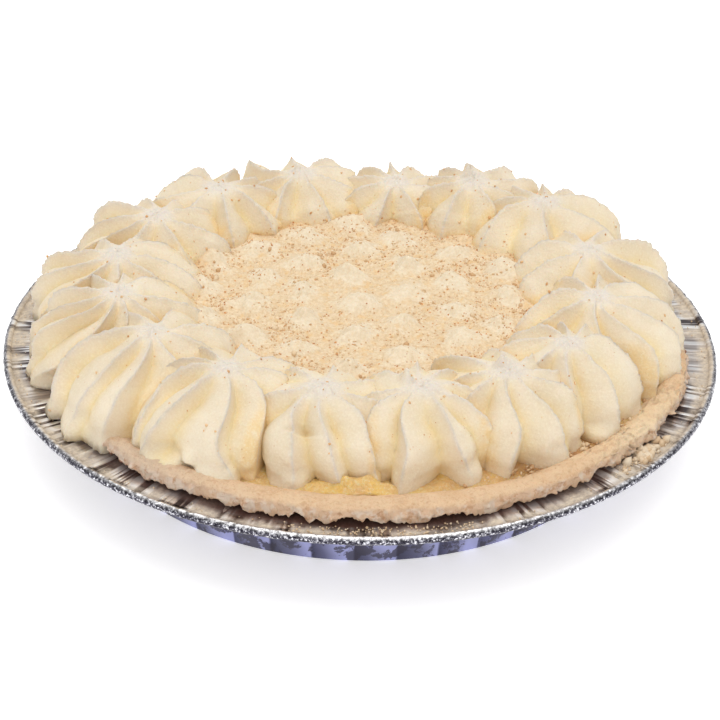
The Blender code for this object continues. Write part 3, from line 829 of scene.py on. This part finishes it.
def make_crust(finish):
    """Shortcrust edge with a sandy face and a ragged, crumbling lower lip."""
    bearing = bearings(CRUST_STEPS)
    crown = crust_crown(bearing)
    reach = crust_reach(bearing)
    low = CRUST_UNDERSIDE + 0.0005 * ripple(bearing, SEED + 3, 9, 30)
    radius, height = crust_section(crown, reach, low)
    bearing = bearing[None, :]
    grid = turned(radius, height, bearing)

    # Parts of the section, and stretches of the edge that crumble more
    open_face = soft_step(radius, 0.1035, 0.1055)
    drop = np.clip((crown - height) / np.maximum(crown - low, 0.001), 0.0, 1.2)
    outside = soft_step(radius, reach - 0.0030, reach - 0.0008)
    side = outside * soft_step(drop, 0.10, 0.40)
    lip = outside * soft_step(drop, 0.55, 1.0)
    broken = near(bearing, CRUST_BROKEN)
    crumbly = near(bearing, CRUST_CRUMBLY)
    rough = 1.0 + 1.0 * broken + 0.8 * crumbly

    # Relief
    crack = within(1.0 - np.abs(clouds(grid, 0.0075, 19, 3)) / 0.07) * open_face
    lumps = 0.00050 * clouds(grid, 0.0050, 11, 3) * open_face * rough
    sand = 0.00028 * clouds(grid, 0.0011, 12, 3) * open_face * rough
    along = turned(RIM_MIDDLE, 0.0, bearing)
    ragged = clouds(along, 0.0110, 13, 6, 0.66)
    torn = np.clip(ragged, -1.0, 1.2) * 0.0009 * lip
    cove = within(-0.15 - ragged) * 0.0013 * lip
    teeth = within(0.45 + 1.2 * clouds(along, 0.0021, 27, 3, 0.7)) * 0.0012 * lip
    flakes = within(clouds(grid, 0.0024, 14, 3) - 0.20) * 0.0014 * side
    outward = turned(1.0, 0.0, bearing)
    grid = grid + outward * (sand + flakes + 0.6 * lumps - cove)[..., None]
    grid = grid - outward * (0.0009 * crack * side * (0.3 + broken + crumbly))[..., None]
    grid[..., 2] += (lumps + sand) * (1.0 - side) - torn * 0.9 + cove + teeth
    grid[..., 2] -= 0.0011 * crack * (1.0 - side) * (0.25 + broken + crumbly)
    grid[..., 2] -= 0.0012 * broken * within(clouds(grid, 0.004, 17, 3)) * open_face
    floor = np.where(radius > TIN_FLAT_INNER, 0.0285, 0.0)
    grid[..., 2] = np.maximum(grid[..., 2], floor)

    # Mask for painted dark shade under the crust's lip and along its low foot
    under = outside * soft_step(drop, 0.98, 1.06) + (radius < 0.1120) * (height < 0.0300)
    marks = {"side": side, "lip": within(under), "pale": near(bearing, CRUST_PALE),
             # Painted light on one stretch of the top
             "sunny": near(bearing, CRUST_PAINTED_LIGHT)}
    return skin("crust_pastry", grid, finish, "crust", marks=marks)


def custard_height(radius, bearing):
    """Height of the custard's surface."""
    lump = near(bearing, CUSTARD_LUMP) * bump_at(radius - LUMP_RADIUS, 0.003)
    return FILLING_LEVEL - 0.0002 + LUMP_HEIGHT * lump


def make_custard(finish):
    """Surface of the custard and the body under it."""
    bearing = bearings(CUSTARD_STEPS)[None, :]
    body = ((0.085, 0.0050), (0.0985, 0.0275), (0.1025, 0.0306))
    radius = np.concatenate((
        [ring for ring, _ in body], np.linspace(0.1046, 0.088, 26), (0.060, 0.030),
    ))[:, None]
    height = custard_height(radius, bearing)
    for ring, (_, level) in enumerate(body):
        height[ring] = level
    grid = turned(radius, height, bearing)
    chunk = near(bearing, CUSTARD_CHUNK) * bump_at(radius - LUMP_RADIUS, 0.0042)
    lumps = 0.00070 * clouds(grid, 0.0045, 15, 3) + 0.00022 * clouds(grid, 0.0010, 16, 2)
    lumps = lumps + chunk * (0.0019 + 0.0013 * clouds(grid, 0.0036, 18, 3))
    grid[len(body):, :, 2] += lumps[len(body):]
    return skin("custard_filling", grid, finish, "filling",
                (0.0, 0.0, body[0][1]), (0.0, 0.0, FILLING_LEVEL - 0.0002),
                {"moist": near(bearing, CUSTARD_MOIST)})


# Cream

def bed_peaks():
    """Plan positions, heights and spreads of the bed's low peaks.

    They stand in columns, every second column half a step on, and each is
    pushed off its place a little.
    """
    draw = random.Random(SEED + 5)
    peaks = []
    for column in range(-4, 5):
        for row in range(-4, 5):
            x = column * PEAK_COLUMNS - 0.0020
            y = (row - 0.5 * (column % 2)) * PEAK_ROWS - 0.0055
            x += draw.uniform(-0.0018, 0.0018) - BED_CENTRE[0]
            y += draw.uniform(-0.0018, 0.0018) - BED_CENTRE[1]
            height = PEAK_HEIGHT * draw.uniform(0.75, 1.12)
            spread = PEAK_SPREAD * draw.uniform(0.88, 1.15)
            if math.hypot(x, y) < BED_RADIUS - 0.001:
                peaks.append((x, y, height, spread))
    return peaks


def bed_height(x, y, peaks):
    """Height of the bed's surface over points measured from its centre."""
    height = np.full_like(x, BED_LEVEL)
    draw = random.Random(SEED + 6)
    for peak_x, peak_y, peak_height, spread in peaks:
        away_x = x - peak_x
        away_y = y - peak_y
        distance = np.hypot(away_x, away_y) / spread
        around = np.arctan2(away_y, away_x)
        ridges = draw.choice((5, 6, 7))
        star = np.cos(ridges * around + draw.uniform(0.0, math.tau) + 1.2 * distance)
        stretch = 1.0 + 0.16 * star * within(distance * 1.6)
        rolling = bump_at(distance, 1.45)
        cap = bump_at(distance, 0.80 * stretch, 1.7)
        height += peak_height * (0.42 * rolling + 0.66 * cap)
    return height


def make_bed(finish):
    """Cream bed with its low peaks, a little under the rosettes' feet."""
    outer = BED_RADIUS + BED_SKIRT
    radius = np.linspace(0.0012, outer, int(BED_RADIUS / BED_STEP))[::-1, None]
    bearing = bearings(BED_STEPS)[None, :]
    flat = turned(radius, 0.0, bearing)
    x, y = flat[..., 0], flat[..., 1]
    warp_x, warp_y = (0.0016 * clouds(flat, 0.0080, seed, 2) for seed in (25, 26))
    height = bed_height(x + warp_x, y + warp_y, bed_peaks())
    steep_along = np.abs(np.gradient(height, axis=0) / np.gradient(radius[:, 0])[:, None])
    steep_aside = np.abs(np.gradient(height, axis=1)) / (radius * math.tau / BED_STEPS)
    steep = np.hypot(steep_along, steep_aside)
    plan = np.stack((x, y, height), axis=-1)
    height += 0.00075 * clouds(plan, 0.0060, 21, 3) + 0.00022 * clouds(plan, 0.0019, 22, 3)

    # Crumb dust with painted shade in the hollows keeps off the peaks and their steep sides, which
    # stay pale
    rise = within((height - BED_LEVEL) / PEAK_HEIGHT)
    clean_and_lit = soft_step(0.7 * steep + 0.6 * rise + 0.25 * clouds(plan, 0.004, 23, 3), 0.22, 0.82)
    dusted = within(1.0 - 0.85 * clean_and_lit)
    edge = soft_step(radius, 0.0560, 0.0640) * within(0.6 + clouds(plan, 0.006, 24, 2))

    # The bed swells beside the rosettes and dips under them
    swell = 0.0012 * soft_step(radius, 0.0500, 0.0600)
    height += swell * (0.6 + 0.5 * clouds(plan, 0.007, 27, 2))
    height -= 0.0015 * within((radius - BED_RADIUS - 0.0050) / 0.0050) ** 2
    grid = np.stack((x + BED_CENTRE[0], y + BED_CENTRE[1], height), axis=-1)
    foot = grid[:1].copy()
    foot[..., 2] = FILLING_LEVEL
    grid = np.concatenate((foot, grid))
    marks = {"dusted": np.concatenate((dusted[:1], dusted)),
             "edge": np.concatenate((edge[:1], edge))}
    return skin("cream_bed_top", grid, finish, "cream_bed",
                (*BED_CENTRE, FILLING_LEVEL), (*BED_CENTRE, grid[-1, :, 2].mean()), marks)


class Rosette:
    """One piped star of cream: its sizes, its ridges and the relief on them.

    Arrays run over (rings, steps). The level is 0 at the foot and 1 at the
    shoulder; inward is 1 on the side that faces the bed.
    """

    def __init__(self, number):
        draw = random.Random(SEED + 20 + number)
        bearing, *sizes = ROSETTE_TABLE[number]
        self.number = number
        self.bearing = math.radians(bearing)
        self.peak, self.outer, self.height = (size / 1000.0 for size in sizes)
        self.inner = ROSETTE_INNER + ROSETTE_INNER_BACK * max(0.0, math.sin(self.bearing))
        before = math.radians(ROSETTE_TABLE[number - 1][0])
        after = math.radians(ROSETTE_TABLE[(number + 1) % ROSETTES][0])
        self.sides = (self.bearing - ((self.bearing - before) % math.tau) / 2.0,
                      self.bearing + ((after - self.bearing) % math.tau) / 2.0)
        self.outward = np.array((math.cos(self.bearing), math.sin(self.bearing)))
        self.across = np.array((-self.outward[1], self.outward[0]))
        self.foot_middle = (self.outer + self.inner) / 2.0
        self.half_length = (self.outer - self.inner) / 2.0
        side = math.sin((self.sides[1] - self.sides[0]) / 2.0)
        self.half_width = self.foot_middle * side * ROSETTE_WIDTH_SHARE
        self.plateau = draw.uniform(0.0050, 0.0064)
        self.cap_rise = draw.uniform(0.0005, 0.0011)
        self.ridges = self.lay_ridges(draw)
        self.count = len(self.ridges)
        self.draw = random.Random(SEED + 70 + number)
        self.climb = np.concatenate((
            np.linspace(0.0, 1.0, ROSETTE_RINGS), 1.0 + np.linspace(0.0, 0.97, CAP_RINGS)[1:],
        ))[:, None]
        self.up = within(self.climb)
        self.cap = within(self.climb - 1.0)
        self.lay_steps()
        self.lay_paths()
        self.lay_body()
        self.lay_zones()

    def lay_ridges(self, draw):
        """Directions of the ridges half way up, with the lean of top and toe."""
        ridges = []
        for middle, top, toe in sorted(RIDGES[self.number]):
            square = (self.number + 1, middle) in SQUARE_RIDGES
            full = draw.uniform(*(SQUARE_FULLNESS if square else ROUND_FULLNESS))
            ridges.append((middle, wrapped(top - middle), wrapped(toe - middle), full))
        return np.array(ridges)

    def each_ridge(self, low, high):
        """One random value for each ridge."""
        return np.array([self.draw.uniform(low, high) for _ in range(self.count)])

    def each_step(self, low, high):
        """One random value for each ridge, at all the mesh steps that follow it."""
        return self.each_ridge(low, high)[self.ridge]

    def blended(self, values):
        """Values of the ridges, blended from each ridge to the next."""
        return values[self.ridge] * (1.0 - self.part) + values[self.following] * self.part

    def lay_steps(self):
        """The ridge before each mesh step, and how far on towards the next it is."""
        column = np.arange(self.count * RIDGE_SAMPLES)[None, :]
        step = column % RIDGE_SAMPLES
        self.ridge = column // RIDGE_SAMPLES
        self.following = (self.ridge + 1) % self.count
        self.lean = GROOVE_LEANS[self.number] + self.each_step(-0.06, 0.06)
        before = np.round(RIDGE_SAMPLES * (0.20 + 0.60 * self.lean))
        self.part = np.where(
            step < before, self.lean * step / before,
            self.lean + (1.0 - self.lean) * (step - before) / (RIDGE_SAMPLES - before))

    def lay_paths(self):
        """Direction, fullness, groove width and groove share of every point."""
        middle, top, toe, full = self.ridges.T
        toe_share = (1.0 - soft_step(self.up, 0.0, 0.45)) ** 1.5
        top_share = soft_step(self.up, 0.30, 1.0)
        here, there = (middle[ridge] + top[ridge] * top_share + toe[ridge] * toe_share
                       for ridge in (self.ridge, self.following))
        there = there + np.where(self.ridge == self.count - 1, 360.0, 0.0)
        gap = np.maximum(there - here, 6.0)
        self.gap = np.radians(gap)
        self.full = self.blended(full)
        first = self.part < self.lean
        sides = np.where(first, self.part / self.lean, (1.0 - self.part) / (1.0 - self.lean))
        breadth = np.where(first, self.lean, 1.0 - self.lean)
        self.valley = sides ** (0.5 + 1.25 * breadth)
        reach = np.maximum(0.0155 * np.cos(self.up * math.pi / 2.0), 0.0095)
        bent = math.copysign(RIDGE_BEND, 0.5 - GROOVE_LEANS[self.number])
        bent = bent * (1.0 - self.valley) ** 2 * np.sin(math.pi * self.up) / reach
        self.turn = np.radians(here + gap * self.part) - self.bearing + bent

    def lay_body(self):
        """Smooth body: its points, before grooves are pressed in."""
        footprint = ((np.abs(np.cos(self.turn)) / self.half_length) ** ROSETTE_SQUARENESS
                     + (np.abs(np.sin(self.turn)) / self.half_width) ** ROSETTE_SQUARENESS)
        footprint **= -1.0 / ROSETTE_SQUARENESS
        rise = self.up * math.pi / 2.0
        self.inward = soft_step(-np.cos(self.turn), -0.10, 0.50)
        gentle = self.inward * within(4.4 - self.full)
        self.level = np.sin(rise) ** (2.0 / (self.full * (1.0 - gentle) + 1.75 * gentle))
        radius = self.plateau + (footprint - self.plateau) * np.cos(rise)
        self.radius = radius * (1.0 - self.cap) - TUCK * self.inward * bump_at(self.level, 0.30)
        foot = ROSETTE_FOOT + (BED_LEVEL - 0.0030 - ROSETTE_FOOT) * self.inward
        height = foot + (self.height - self.cap_rise - foot) * self.level
        height = height + self.cap_rise * (1.0 - (1.0 - self.cap) ** 2)
        shift = (np.sin(rise) ** (2.0 / 2.4)) ** 1.2
        middle = self.foot_middle + (self.peak - self.foot_middle) * shift
        x = middle + self.radius * np.cos(self.turn)
        y = self.radius * np.sin(self.turn)
        plan = x[..., None] * self.outward + y[..., None] * self.across
        self.smooth = np.concatenate((plan, height[..., None]), axis=-1)

    def lay_zones(self):
        """Shares of the foot, the groove, the crest, the tip and what fades at it."""
        self.foot = bump_at(self.level, 0.10)
        self.groove = self.valley ** (1.0 + 0.2 * self.foot)
        self.fading = soft_step(self.radius, 0.75 * self.plateau, 2.1 * self.plateau)
        edge = np.minimum(self.part, 1.0 - self.part) * self.gap * np.maximum(self.radius, 0.004)
        self.crest = bump_at(edge, CREST_WIDTH)
        self.tip = bump_at(self.radius, self.plateau * 1.05, 4)

    def own(self, table):
        """Rows of a table that are this rosette's, with the share of their direction."""
        for number, direction, spread, *sizes in table:
            if number == self.number + 1:
                away = bearing_distance(self.turn + self.bearing, direction)
                yield (bump_at(away, spread, 4), *sizes)

    def pads(self):
        """Swelling of the toes, and how far it fills the grooves there."""
        filled = np.zeros_like(self.level)
        swelling = np.zeros_like(self.level)
        for share, size in self.own(PADS):
            zone = share * bump_at(self.level - 0.12, 0.14, 4)
            crease = 0.6 * share * bump_at(self.level - 0.33, 0.09)
            filled = np.maximum(filled, zone * min(1.0, size / 0.0020))
            swelling = swelling + size * (zone - crease)
        return swelling, filled

    def groove_depth(self):
        """Depth of the grooves: less at the tip, the inner foot and the hidden rear."""
        width = np.clip(self.gap * 0.0175, 0.002, 0.016)
        deep = np.clip(0.48 * width * self.each_step(0.85, 1.2), *GROOVE_DEPTHS)
        deep = deep * within(self.radius / 0.0150) ** 0.9 * (0.22 + 0.78 * self.fading)
        rear = soft_step(-np.cos(self.turn), -0.50, 0.25) * soft_step(self.level, 0.50, 0.80)
        return (deep * (1.0 - 0.5 * self.inward * self.foot)
                * (1.0 - 0.66 * near(self.bearing, ROSETTES_IN_FRONT) * rear))

    def raised(self):
        """Height of the forms that stand on the body, less those that sink in."""
        level, outer = self.level, 1.0 - self.inward
        resting = 0.0 if hangs_over(self.bearing) else UNDERCUT
        undercut = resting * bump_at(level, 0.13) * self.groove * outer
        flare = FLARE * self.inward * bump_at(level, 0.20) * (1.0 - 0.8 * self.groove)
        splay = SPLAY * outer * bump_at(level, 0.09) * (1.0 - self.groove) ** 1.5
        waist = WAIST * self.blended(self.each_ridge(0.0, 1.0)) * bump_at(level - 0.20, 0.07)
        fin = FIN * self.crest * within(level * 4.0) * self.fading
        self.fold = self.soft_folds()
        closer = np.where(self.part < 0.5, self.ridge, self.following)
        tooth = TOOTH * self.each_ridge(0.0, 1.0)[closer] * self.crest
        tooth = tooth * bump_at(level - 0.90, 0.10) * (self.climb < 1.0)
        notches = 0.0
        for share, above, size in self.own(NOTCHES):
            face = soft_step(level, above - 0.012, above + 0.012)
            face = face * (1.0 - soft_step(level, above + 0.05, above + 0.15))
            notches = notches + size * share * face
        return fin + tooth + flare + splay + FOLD * self.fold - undercut - waist - notches

    def soft_folds(self):
        """A low second crest on the broad side of each wide ridge."""
        at = np.where(self.lean < 0.5, self.lean + 0.34, self.lean - 0.34)
        at = at + self.each_step(-0.06, 0.06)
        wide = within((np.degrees(self.gap) - 28.0) / 16.0)
        fold = bump_at(np.abs(self.part - at), 0.075, 1.3) * wide
        top = self.each_step(0.45, 0.95)
        fold = fold * (1.0 - soft_step(self.level, top - 0.30, top))
        return fold * self.each_step(0.2, 1.0)

    def surface(self):
        """Points of the ridged surface, before it meets its neighbours."""
        swelling, filled = self.pads()
        deep = self.groove_depth() * (1.0 - 0.85 * filled)
        push = self.raised() - deep * self.groove + swelling
        for size, seed, octaves, strength in (
            (0.0110, 50, 3, 0.00080), (0.0018, 80, 2, 0.00010),
            (0.0010, 110, 2, 0.00046 * self.crest),
            (0.0020, 170, 3, 0.0011 * bump_at(self.level, 0.08)),
        ):
            push = push + clouds(self.smooth, size, seed + self.number, octaves) * strength
        return self.smooth + normals(self.smooth) * push[..., None]

    def press_sides(self, grid):
        """Press the sides back where they meet the neighbours; mask the crease between them for
        painted shade.
        """
        seam = np.zeros_like(self.level)
        for side, bearing in zip((-1.0, 1.0), self.sides):
            plane = side * np.array((-math.sin(bearing), math.cos(bearing)))
            across = grid[..., :2] @ plane
            # Mask for painted shade in the crease where two rosettes meet
            seam = np.maximum(seam, bump_at(np.minimum(across + 0.0002, 0.0), 0.0018))
            beyond = np.clip((across - SEAM_OVERLAP) / SEAM_BLEND, -30.0, 30.0)
            grid[..., :2] -= plane * (SEAM_BLEND * np.log1p(np.exp(beyond)))[..., None]
        return seam

    def tear_tip(self, grid):
        """Make the tip uneven, and pull up the spike that some tips have."""
        grid[..., 2] += self.tip * clouds(grid, 0.0034, 140 + self.number, 3) * 0.0008
        for number, x, y, rise in SPIKES:
            if number == self.number + 1:
                away = grid[..., :2] - self.outward * self.peak - (x, y)
                grid[..., 2] += rise * bump_at(np.hypot(*np.moveaxis(away, -1, 0)), 0.0017, 1.6)

    def settle(self, grid):
        """Rest the foot on the custard, or let it drop to the rim outside."""
        lowest = ROSETTE_FOOT
        if hangs_over(self.bearing):
            lowest = TIN_FLAT_HEIGHT + 0.0004
            grid[..., 2] -= (ROSETTE_FOOT - lowest) * self.foot * (1.0 - self.inward)
        grid[..., 2] = np.maximum(grid[..., 2], lowest)


def normals(points):
    """Unit normals of a grid of points that closes round its steps."""
    down = np.gradient(points, axis=0)
    around = np.roll(points, -1, axis=1) - np.roll(points, 1, axis=1)
    normal = np.cross(around, down)
    return normal / (np.linalg.norm(normal, axis=-1, keepdims=True) + 1e-12)


def make_rosette(number, finish):
    """One piped star of cream with sharp twisted ridges and a torn tip."""
    rosette = Rosette(number)
    grid = rosette.surface()
    seam = rosette.press_sides(grid)
    rosette.tear_tip(grid)
    rosette.settle(grid)
    level, groove, body = rosette.level, rosette.groove, 1.0 - rosette.tip
    # Mask for painted warm shade at the inner foot, where the rosette meets the bed
    foot = rosette.inward * (1.0 - soft_step(level, 0.16, 0.52)) * (0.5 + 0.5 * groove)
    marks = {
        # Painted warm shade in the grooves
        "groove": within(groove ** 2.4 * np.clip(rosette.radius / 0.014, 0.3, 1.0) * body),
        # Painted warm shade in the crease between rosettes
        "seam": seam * body * (1.0 - soft_step(level, 0.70, 0.98)),
        # Painted cool grey shade along the crests
        "crest": within(rosette.crest + 0.5 * rosette.fold) * body * within(level * 3.0),
        # Painted cool tint of the light from above on the tip
        "tip": rosette.tip,
        # Painted warm shade at the inner foot
        "inner_foot": foot,
    }
    name = f"rosette_{number + 1:02d}"
    low = (*(rosette.outward * rosette.foot_middle), ROSETTE_FOOT)
    top = tuple(grid[-1].mean(axis=0))
    return skin("cream_" + name, grid, finish, name, low, top, marks)


# Crumbs

CRUMB_CORNERS = np.array((
    (0.0, 0.0, 1.0), (0.9, 0.0, 0.35), (0.25, 0.85, 0.3), (-0.75, 0.5, 0.4),
    (-0.7, -0.55, 0.3), (0.3, -0.85, 0.4), (0.55, 0.45, -0.6), (-0.35, 0.6, -0.7),
    (-0.6, -0.2, -0.75), (0.2, -0.6, -0.7),
))
CRUMB_FACES = np.array((
    (0, 1, 2), (0, 2, 3), (0, 3, 4), (0, 4, 5), (0, 5, 1), (1, 6, 2), (2, 6, 7), (2, 7, 3),
    (3, 7, 8), (3, 8, 4), (4, 8, 9), (4, 9, 5), (5, 9, 1), (1, 9, 6), (6, 9, 8), (6, 8, 7),
))

# Tones of the crumbs from dark to pale, and where each stands in the run
CRUMB_TONES = {
    "brown crumbs": ((0.0, 172, 102, 64), (0.4, 212, 150, 98), (1.0, 232, 184, 134)),
    "orange crumbs": ((0.0, 196, 142, 98), (0.4, 226, 180, 130), (1.0, 236, 206, 164)),
    "tan crumbs": ((0.0, 204, 162, 118), (0.5, 221, 190, 150), (1.0, 233, 212, 180)),
    "pale crumbs": ((0.0, 206, 174, 136), (0.4, 224, 200, 168), (1.0, 234, 218, 194)),
}


def make_crumbs(name, places, sizes, finish, seed):
    """Many small uneven crumbs as one mesh, half sunk into what they lie on."""
    draw = np.random.default_rng(seed)
    count = len(places)
    corner_count = len(CRUMB_CORNERS)
    corners = CRUMB_CORNERS * (1.0 + draw.uniform(-0.3, 0.3, (count, corner_count, 1)))
    corners = corners * draw.uniform(0.6, 1.2, (count, 1, 3)) * sizes[:, None, None] / 2.0
    turn = draw.uniform(0.0, math.tau, (count, 1))
    tilt = draw.uniform(-0.8, 0.8, (count, 1))
    x, y, z = np.moveaxis(corners, -1, 0)
    y, z = y * np.cos(tilt) - z * np.sin(tilt), y * np.sin(tilt) + z * np.cos(tilt)
    x, y = x * np.cos(turn) - y * np.sin(turn), x * np.sin(turn) + y * np.cos(turn)
    points = np.stack((x, y, z), axis=-1) + places[:, None, :]
    faces = CRUMB_FACES + corner_count * np.arange(count)[:, None, None]
    tone = np.repeat(draw.uniform(0.0, 1.0, count), corner_count)
    return piece_of(name, points.reshape(-1, 3), faces.reshape(-1, 3).tolist(), finish,
                    None, {"tone": tone})


def corner_areas(mesh):
    """The share of the mesh's area that belongs to each of its corners."""
    areas = np.empty(len(mesh.polygons))
    mesh.polygons.foreach_get("area", areas)
    sides = np.empty(len(mesh.polygons), dtype=np.int64)
    mesh.polygons.foreach_get("loop_total", sides)
    corners = np.empty(len(mesh.loops), dtype=np.int64)
    mesh.loops.foreach_get("vertex_index", corners)
    shares = np.repeat(areas / sides, sides)
    return np.bincount(corners, weights=shares, minlength=len(mesh.vertices))


def surface_places(piece, count, seed, weight):
    """Random corners of a piece, chosen by a weight for each place and slope."""
    mesh = piece.data
    places, slopes = np.empty((2, len(mesh.vertices) * 3))
    mesh.vertices.foreach_get("co", places)
    mesh.vertex_normals.foreach_get("vector", slopes)
    places = places.reshape(-1, 3)
    slopes = slopes.reshape(-1, 3)
    chance = np.clip(weight(places, slopes), 0.0, None) * corner_areas(mesh)
    draw = np.random.default_rng(seed)
    picked = draw.choice(len(places), count, replace=False, p=chance / chance.sum())
    return places[picked]


def from_bed_centre(places):
    """Distance of each place from the bed's centre, in plan."""
    return np.hypot(places[:, 0] - BED_CENTRE[0], places[:, 1] - BED_CENTRE[1])


def on_bed(places, slopes):
    """Crumbs gather in the hollows of the bed, in patches and towards its edge."""
    radius = from_bed_centre(places)
    hollow = np.clip(1.1 - (places[:, 2] - BED_LEVEL) / 0.0050, 0.20, 1.1)
    hollow = hollow * soft_step(slopes[:, 2], 0.60, 0.95) + 0.05
    patch = np.clip(0.65 + 0.9 * clouds(places, 0.006, 61, 3), 0.10, 3.0)
    inside = (radius < BED_RADIUS + 0.002) & (places[:, 2] > BED_LEVEL - 0.003)
    return radius * hollow * patch * inside


def on_cream(places, slopes):
    """Crumbs lie on the rosettes' tops, and most of all beside the bed."""
    height = places[:, 2]
    low = (height > BED_LEVEL - 0.002) * (height < 0.0470)
    beside_bed = (from_bed_centre(places) < 0.0640) * low
    return within(slopes[:, 2]) * (height > 0.036) * 0.5 + 0.05 + 1.6 * beside_bed


def mostly_small(draw, count, least, range_above, power):
    """Random sizes; the higher the power, the fewer of them are large."""
    return least + range_above * draw.uniform(0.0, 1.0, count) ** power


def make_dusting(bed, rosettes):
    """Crumbs on the bed, the rosettes, the custard and the tin's rim."""
    brown, orange, tan, pale = (crumb_finish(name) for name in CRUMB_TONES)
    draw = np.random.default_rng(SEED)
    for name, count, seed, sizes, finish in (
        ("brown", 2500, 62, mostly_small(draw, 2500, 0.0002, 0.0007, 2), brown),
        ("tan", 2400, 64, draw.uniform(0.0004, 0.0012, 2400), tan),
        ("large", 70, 66, draw.uniform(0.0014, 0.0028, 70), tan),
    ):
        places = surface_places(bed, count, seed, on_bed)
        make_crumbs("crumbs_bed_" + name, places, sizes, finish, seed + 1)

    specks = np.concatenate([surface_places(piece, CRUMBS_ON_EACH_ROSETTE, 70 + index, on_cream)
                             for index, piece in enumerate(rosettes)])
    sizes = mostly_small(draw, len(specks), 0.0003, 0.0010, 3)
    make_crumbs("crumbs_on_rosettes", specks, sizes, orange, 90)

    count = CRUMBS_ON_CUSTARD
    bearing = np.radians(draw.normal(-48.0, 11.0, count))
    places = turned(draw.uniform(0.0995, 0.1056, count), FILLING_LEVEL + 0.0001, bearing)
    sizes = mostly_small(draw, count, 0.0004, 0.0020, 3)
    make_crumbs("crumbs_on_custard", places, sizes, tan, 92)
    dust_rim(draw, pale)


def dust_rim(draw, finish):
    """Crumbs on the rim: a heap at the right, some along the front, a few all round."""
    count = CRUMBS_ON_RIM
    spread = draw.uniform(-1.0, 1.0, count)
    bearing = draw.uniform(-180.0, 180.0, count)
    lot = draw.uniform(0.0, 1.0, count)
    heap = lot < 0.35
    strewn = lot > 0.75
    bearing = np.where(heap, CRUMB_HEAP[0] + 7.0 * spread * np.abs(spread), bearing)
    bearing = np.radians(np.where(strewn, -86.0 + 14.0 * spread, bearing))
    heap_radius = draw.normal(0.1155, 0.0016, count)
    radius = np.where(heap, heap_radius, draw.uniform(0.1145, 0.1192, count))
    places = turned(radius, TIN_FLAT_HEIGHT + 0.0003, bearing)
    large = mostly_small(draw, count, 0.0004, 0.0044, 6)
    small = draw.uniform(0.0002, 0.0007, count) * (1.0 + 0.5 * strewn)
    make_crumbs("crumbs_on_rim", places, np.where(heap, large, small), finish, 91)


# Studio: the camera, then the floor and the light

CAMERA_ELEVATION = math.radians(29.92)
CAMERA_DISTANCE = 0.700
CAMERA_AIM_DROP = 0.00813
CAMERA_ROLL = math.radians(1.375)
SENSOR_MM = 36.0
LENS_MM = 101.17
RIM_PLANE = 0.0277
FLOOR_HALF = 6.0
FLOOR_DROP = 0.0002
FLOOR_GLOW = 0.48
ROOM_LIGHT = 0.62

# Name, place, size and power of each light
SOFTBOXES = (
    ("overhead softbox", (0.04, 0.08, 1.3), 1.5, 9.6),
    ("front softbox", (-0.05, -1.10, 0.95), 0.9, 3.2),
)


def make_studio():
    """White floor, soft light from above and the camera."""
    floor_mesh = bpy.data.meshes.new("floor")
    corners = [(x * FLOOR_HALF, y * FLOOR_HALF, -FLOOR_DROP)
               for x, y in ((-1, -1), (1, -1), (1, 1), (-1, 1))]
    floor_mesh.from_pydata(corners, [], [(0, 1, 2, 3)])
    white = Finish("studio floor", Roughness=0.9, Base_Color=(0.95, 0.95, 0.95, 1.0),
                   Emission_Color=(1.0, 1.0, 1.0, 1.0), Emission_Strength=FLOOR_GLOW)
    floor_mesh.materials.append(white.material)
    floor = in_scene("floor", floor_mesh)

    world = bpy.data.worlds.new("studio")
    world.use_nodes = True
    background = world.node_tree.nodes["Background"]
    background.inputs["Color"].default_value = (1.0, 1.0, 1.0, 1.0)
    background.inputs["Strength"].default_value = ROOM_LIGHT
    bpy.context.scene.world = world

    for softbox in SOFTBOXES:
        add_softbox(*softbox)

    scene = bpy.context.scene
    scene.view_settings.view_transform = "Standard"
    scene.view_settings.look = "None"
    add_camera()


def add_softbox(name, place, size, power):
    """One square area light that faces the pie."""
    light = bpy.data.lights.new(name, "AREA")
    light.size = size
    light.energy = power
    lamp = in_scene(name, light)
    lamp.location = place
    lamp.rotation_euler = (-Vector(place)).to_track_quat("-Z", "Y").to_euler()


def add_camera():
    """Camera at the photograph's angle, which was worked out from the rim's outline."""
    camera = in_scene("camera", bpy.data.cameras.new("camera"))
    camera.data.sensor_width = SENSOR_MM
    camera.data.lens = LENS_MM
    towards = Vector((0.0, -math.cos(CAMERA_ELEVATION), math.sin(CAMERA_ELEVATION)))
    upward = Vector((0.0, math.sin(CAMERA_ELEVATION), math.cos(CAMERA_ELEVATION)))
    rim_middle = Vector((0.0, 0.0, RIM_PLANE))
    place = rim_middle + towards * CAMERA_DISTANCE
    aim = rim_middle - upward * CAMERA_AIM_DROP
    facing = (aim - place).to_track_quat("-Z", "Y").to_matrix().to_4x4()
    roll = Matrix.Rotation(CAMERA_ROLL, 4, "Z")
    camera.matrix_world = Matrix.Translation(place) @ facing @ roll
    bpy.context.scene.camera = camera


def main():
    """Build the looks and the studio."""
    make_wall(foil_wall())
    make_rim(foil_rim())
    make_crust(pastry())
    make_custard(custard())
    bed = make_bed(bed_cream())
    cream = rosette_cream()
    rosettes = [make_rosette(number, cream) for number in range(ROSETTES)]
    make_dusting(bed, rosettes)
    make_studio()


main()
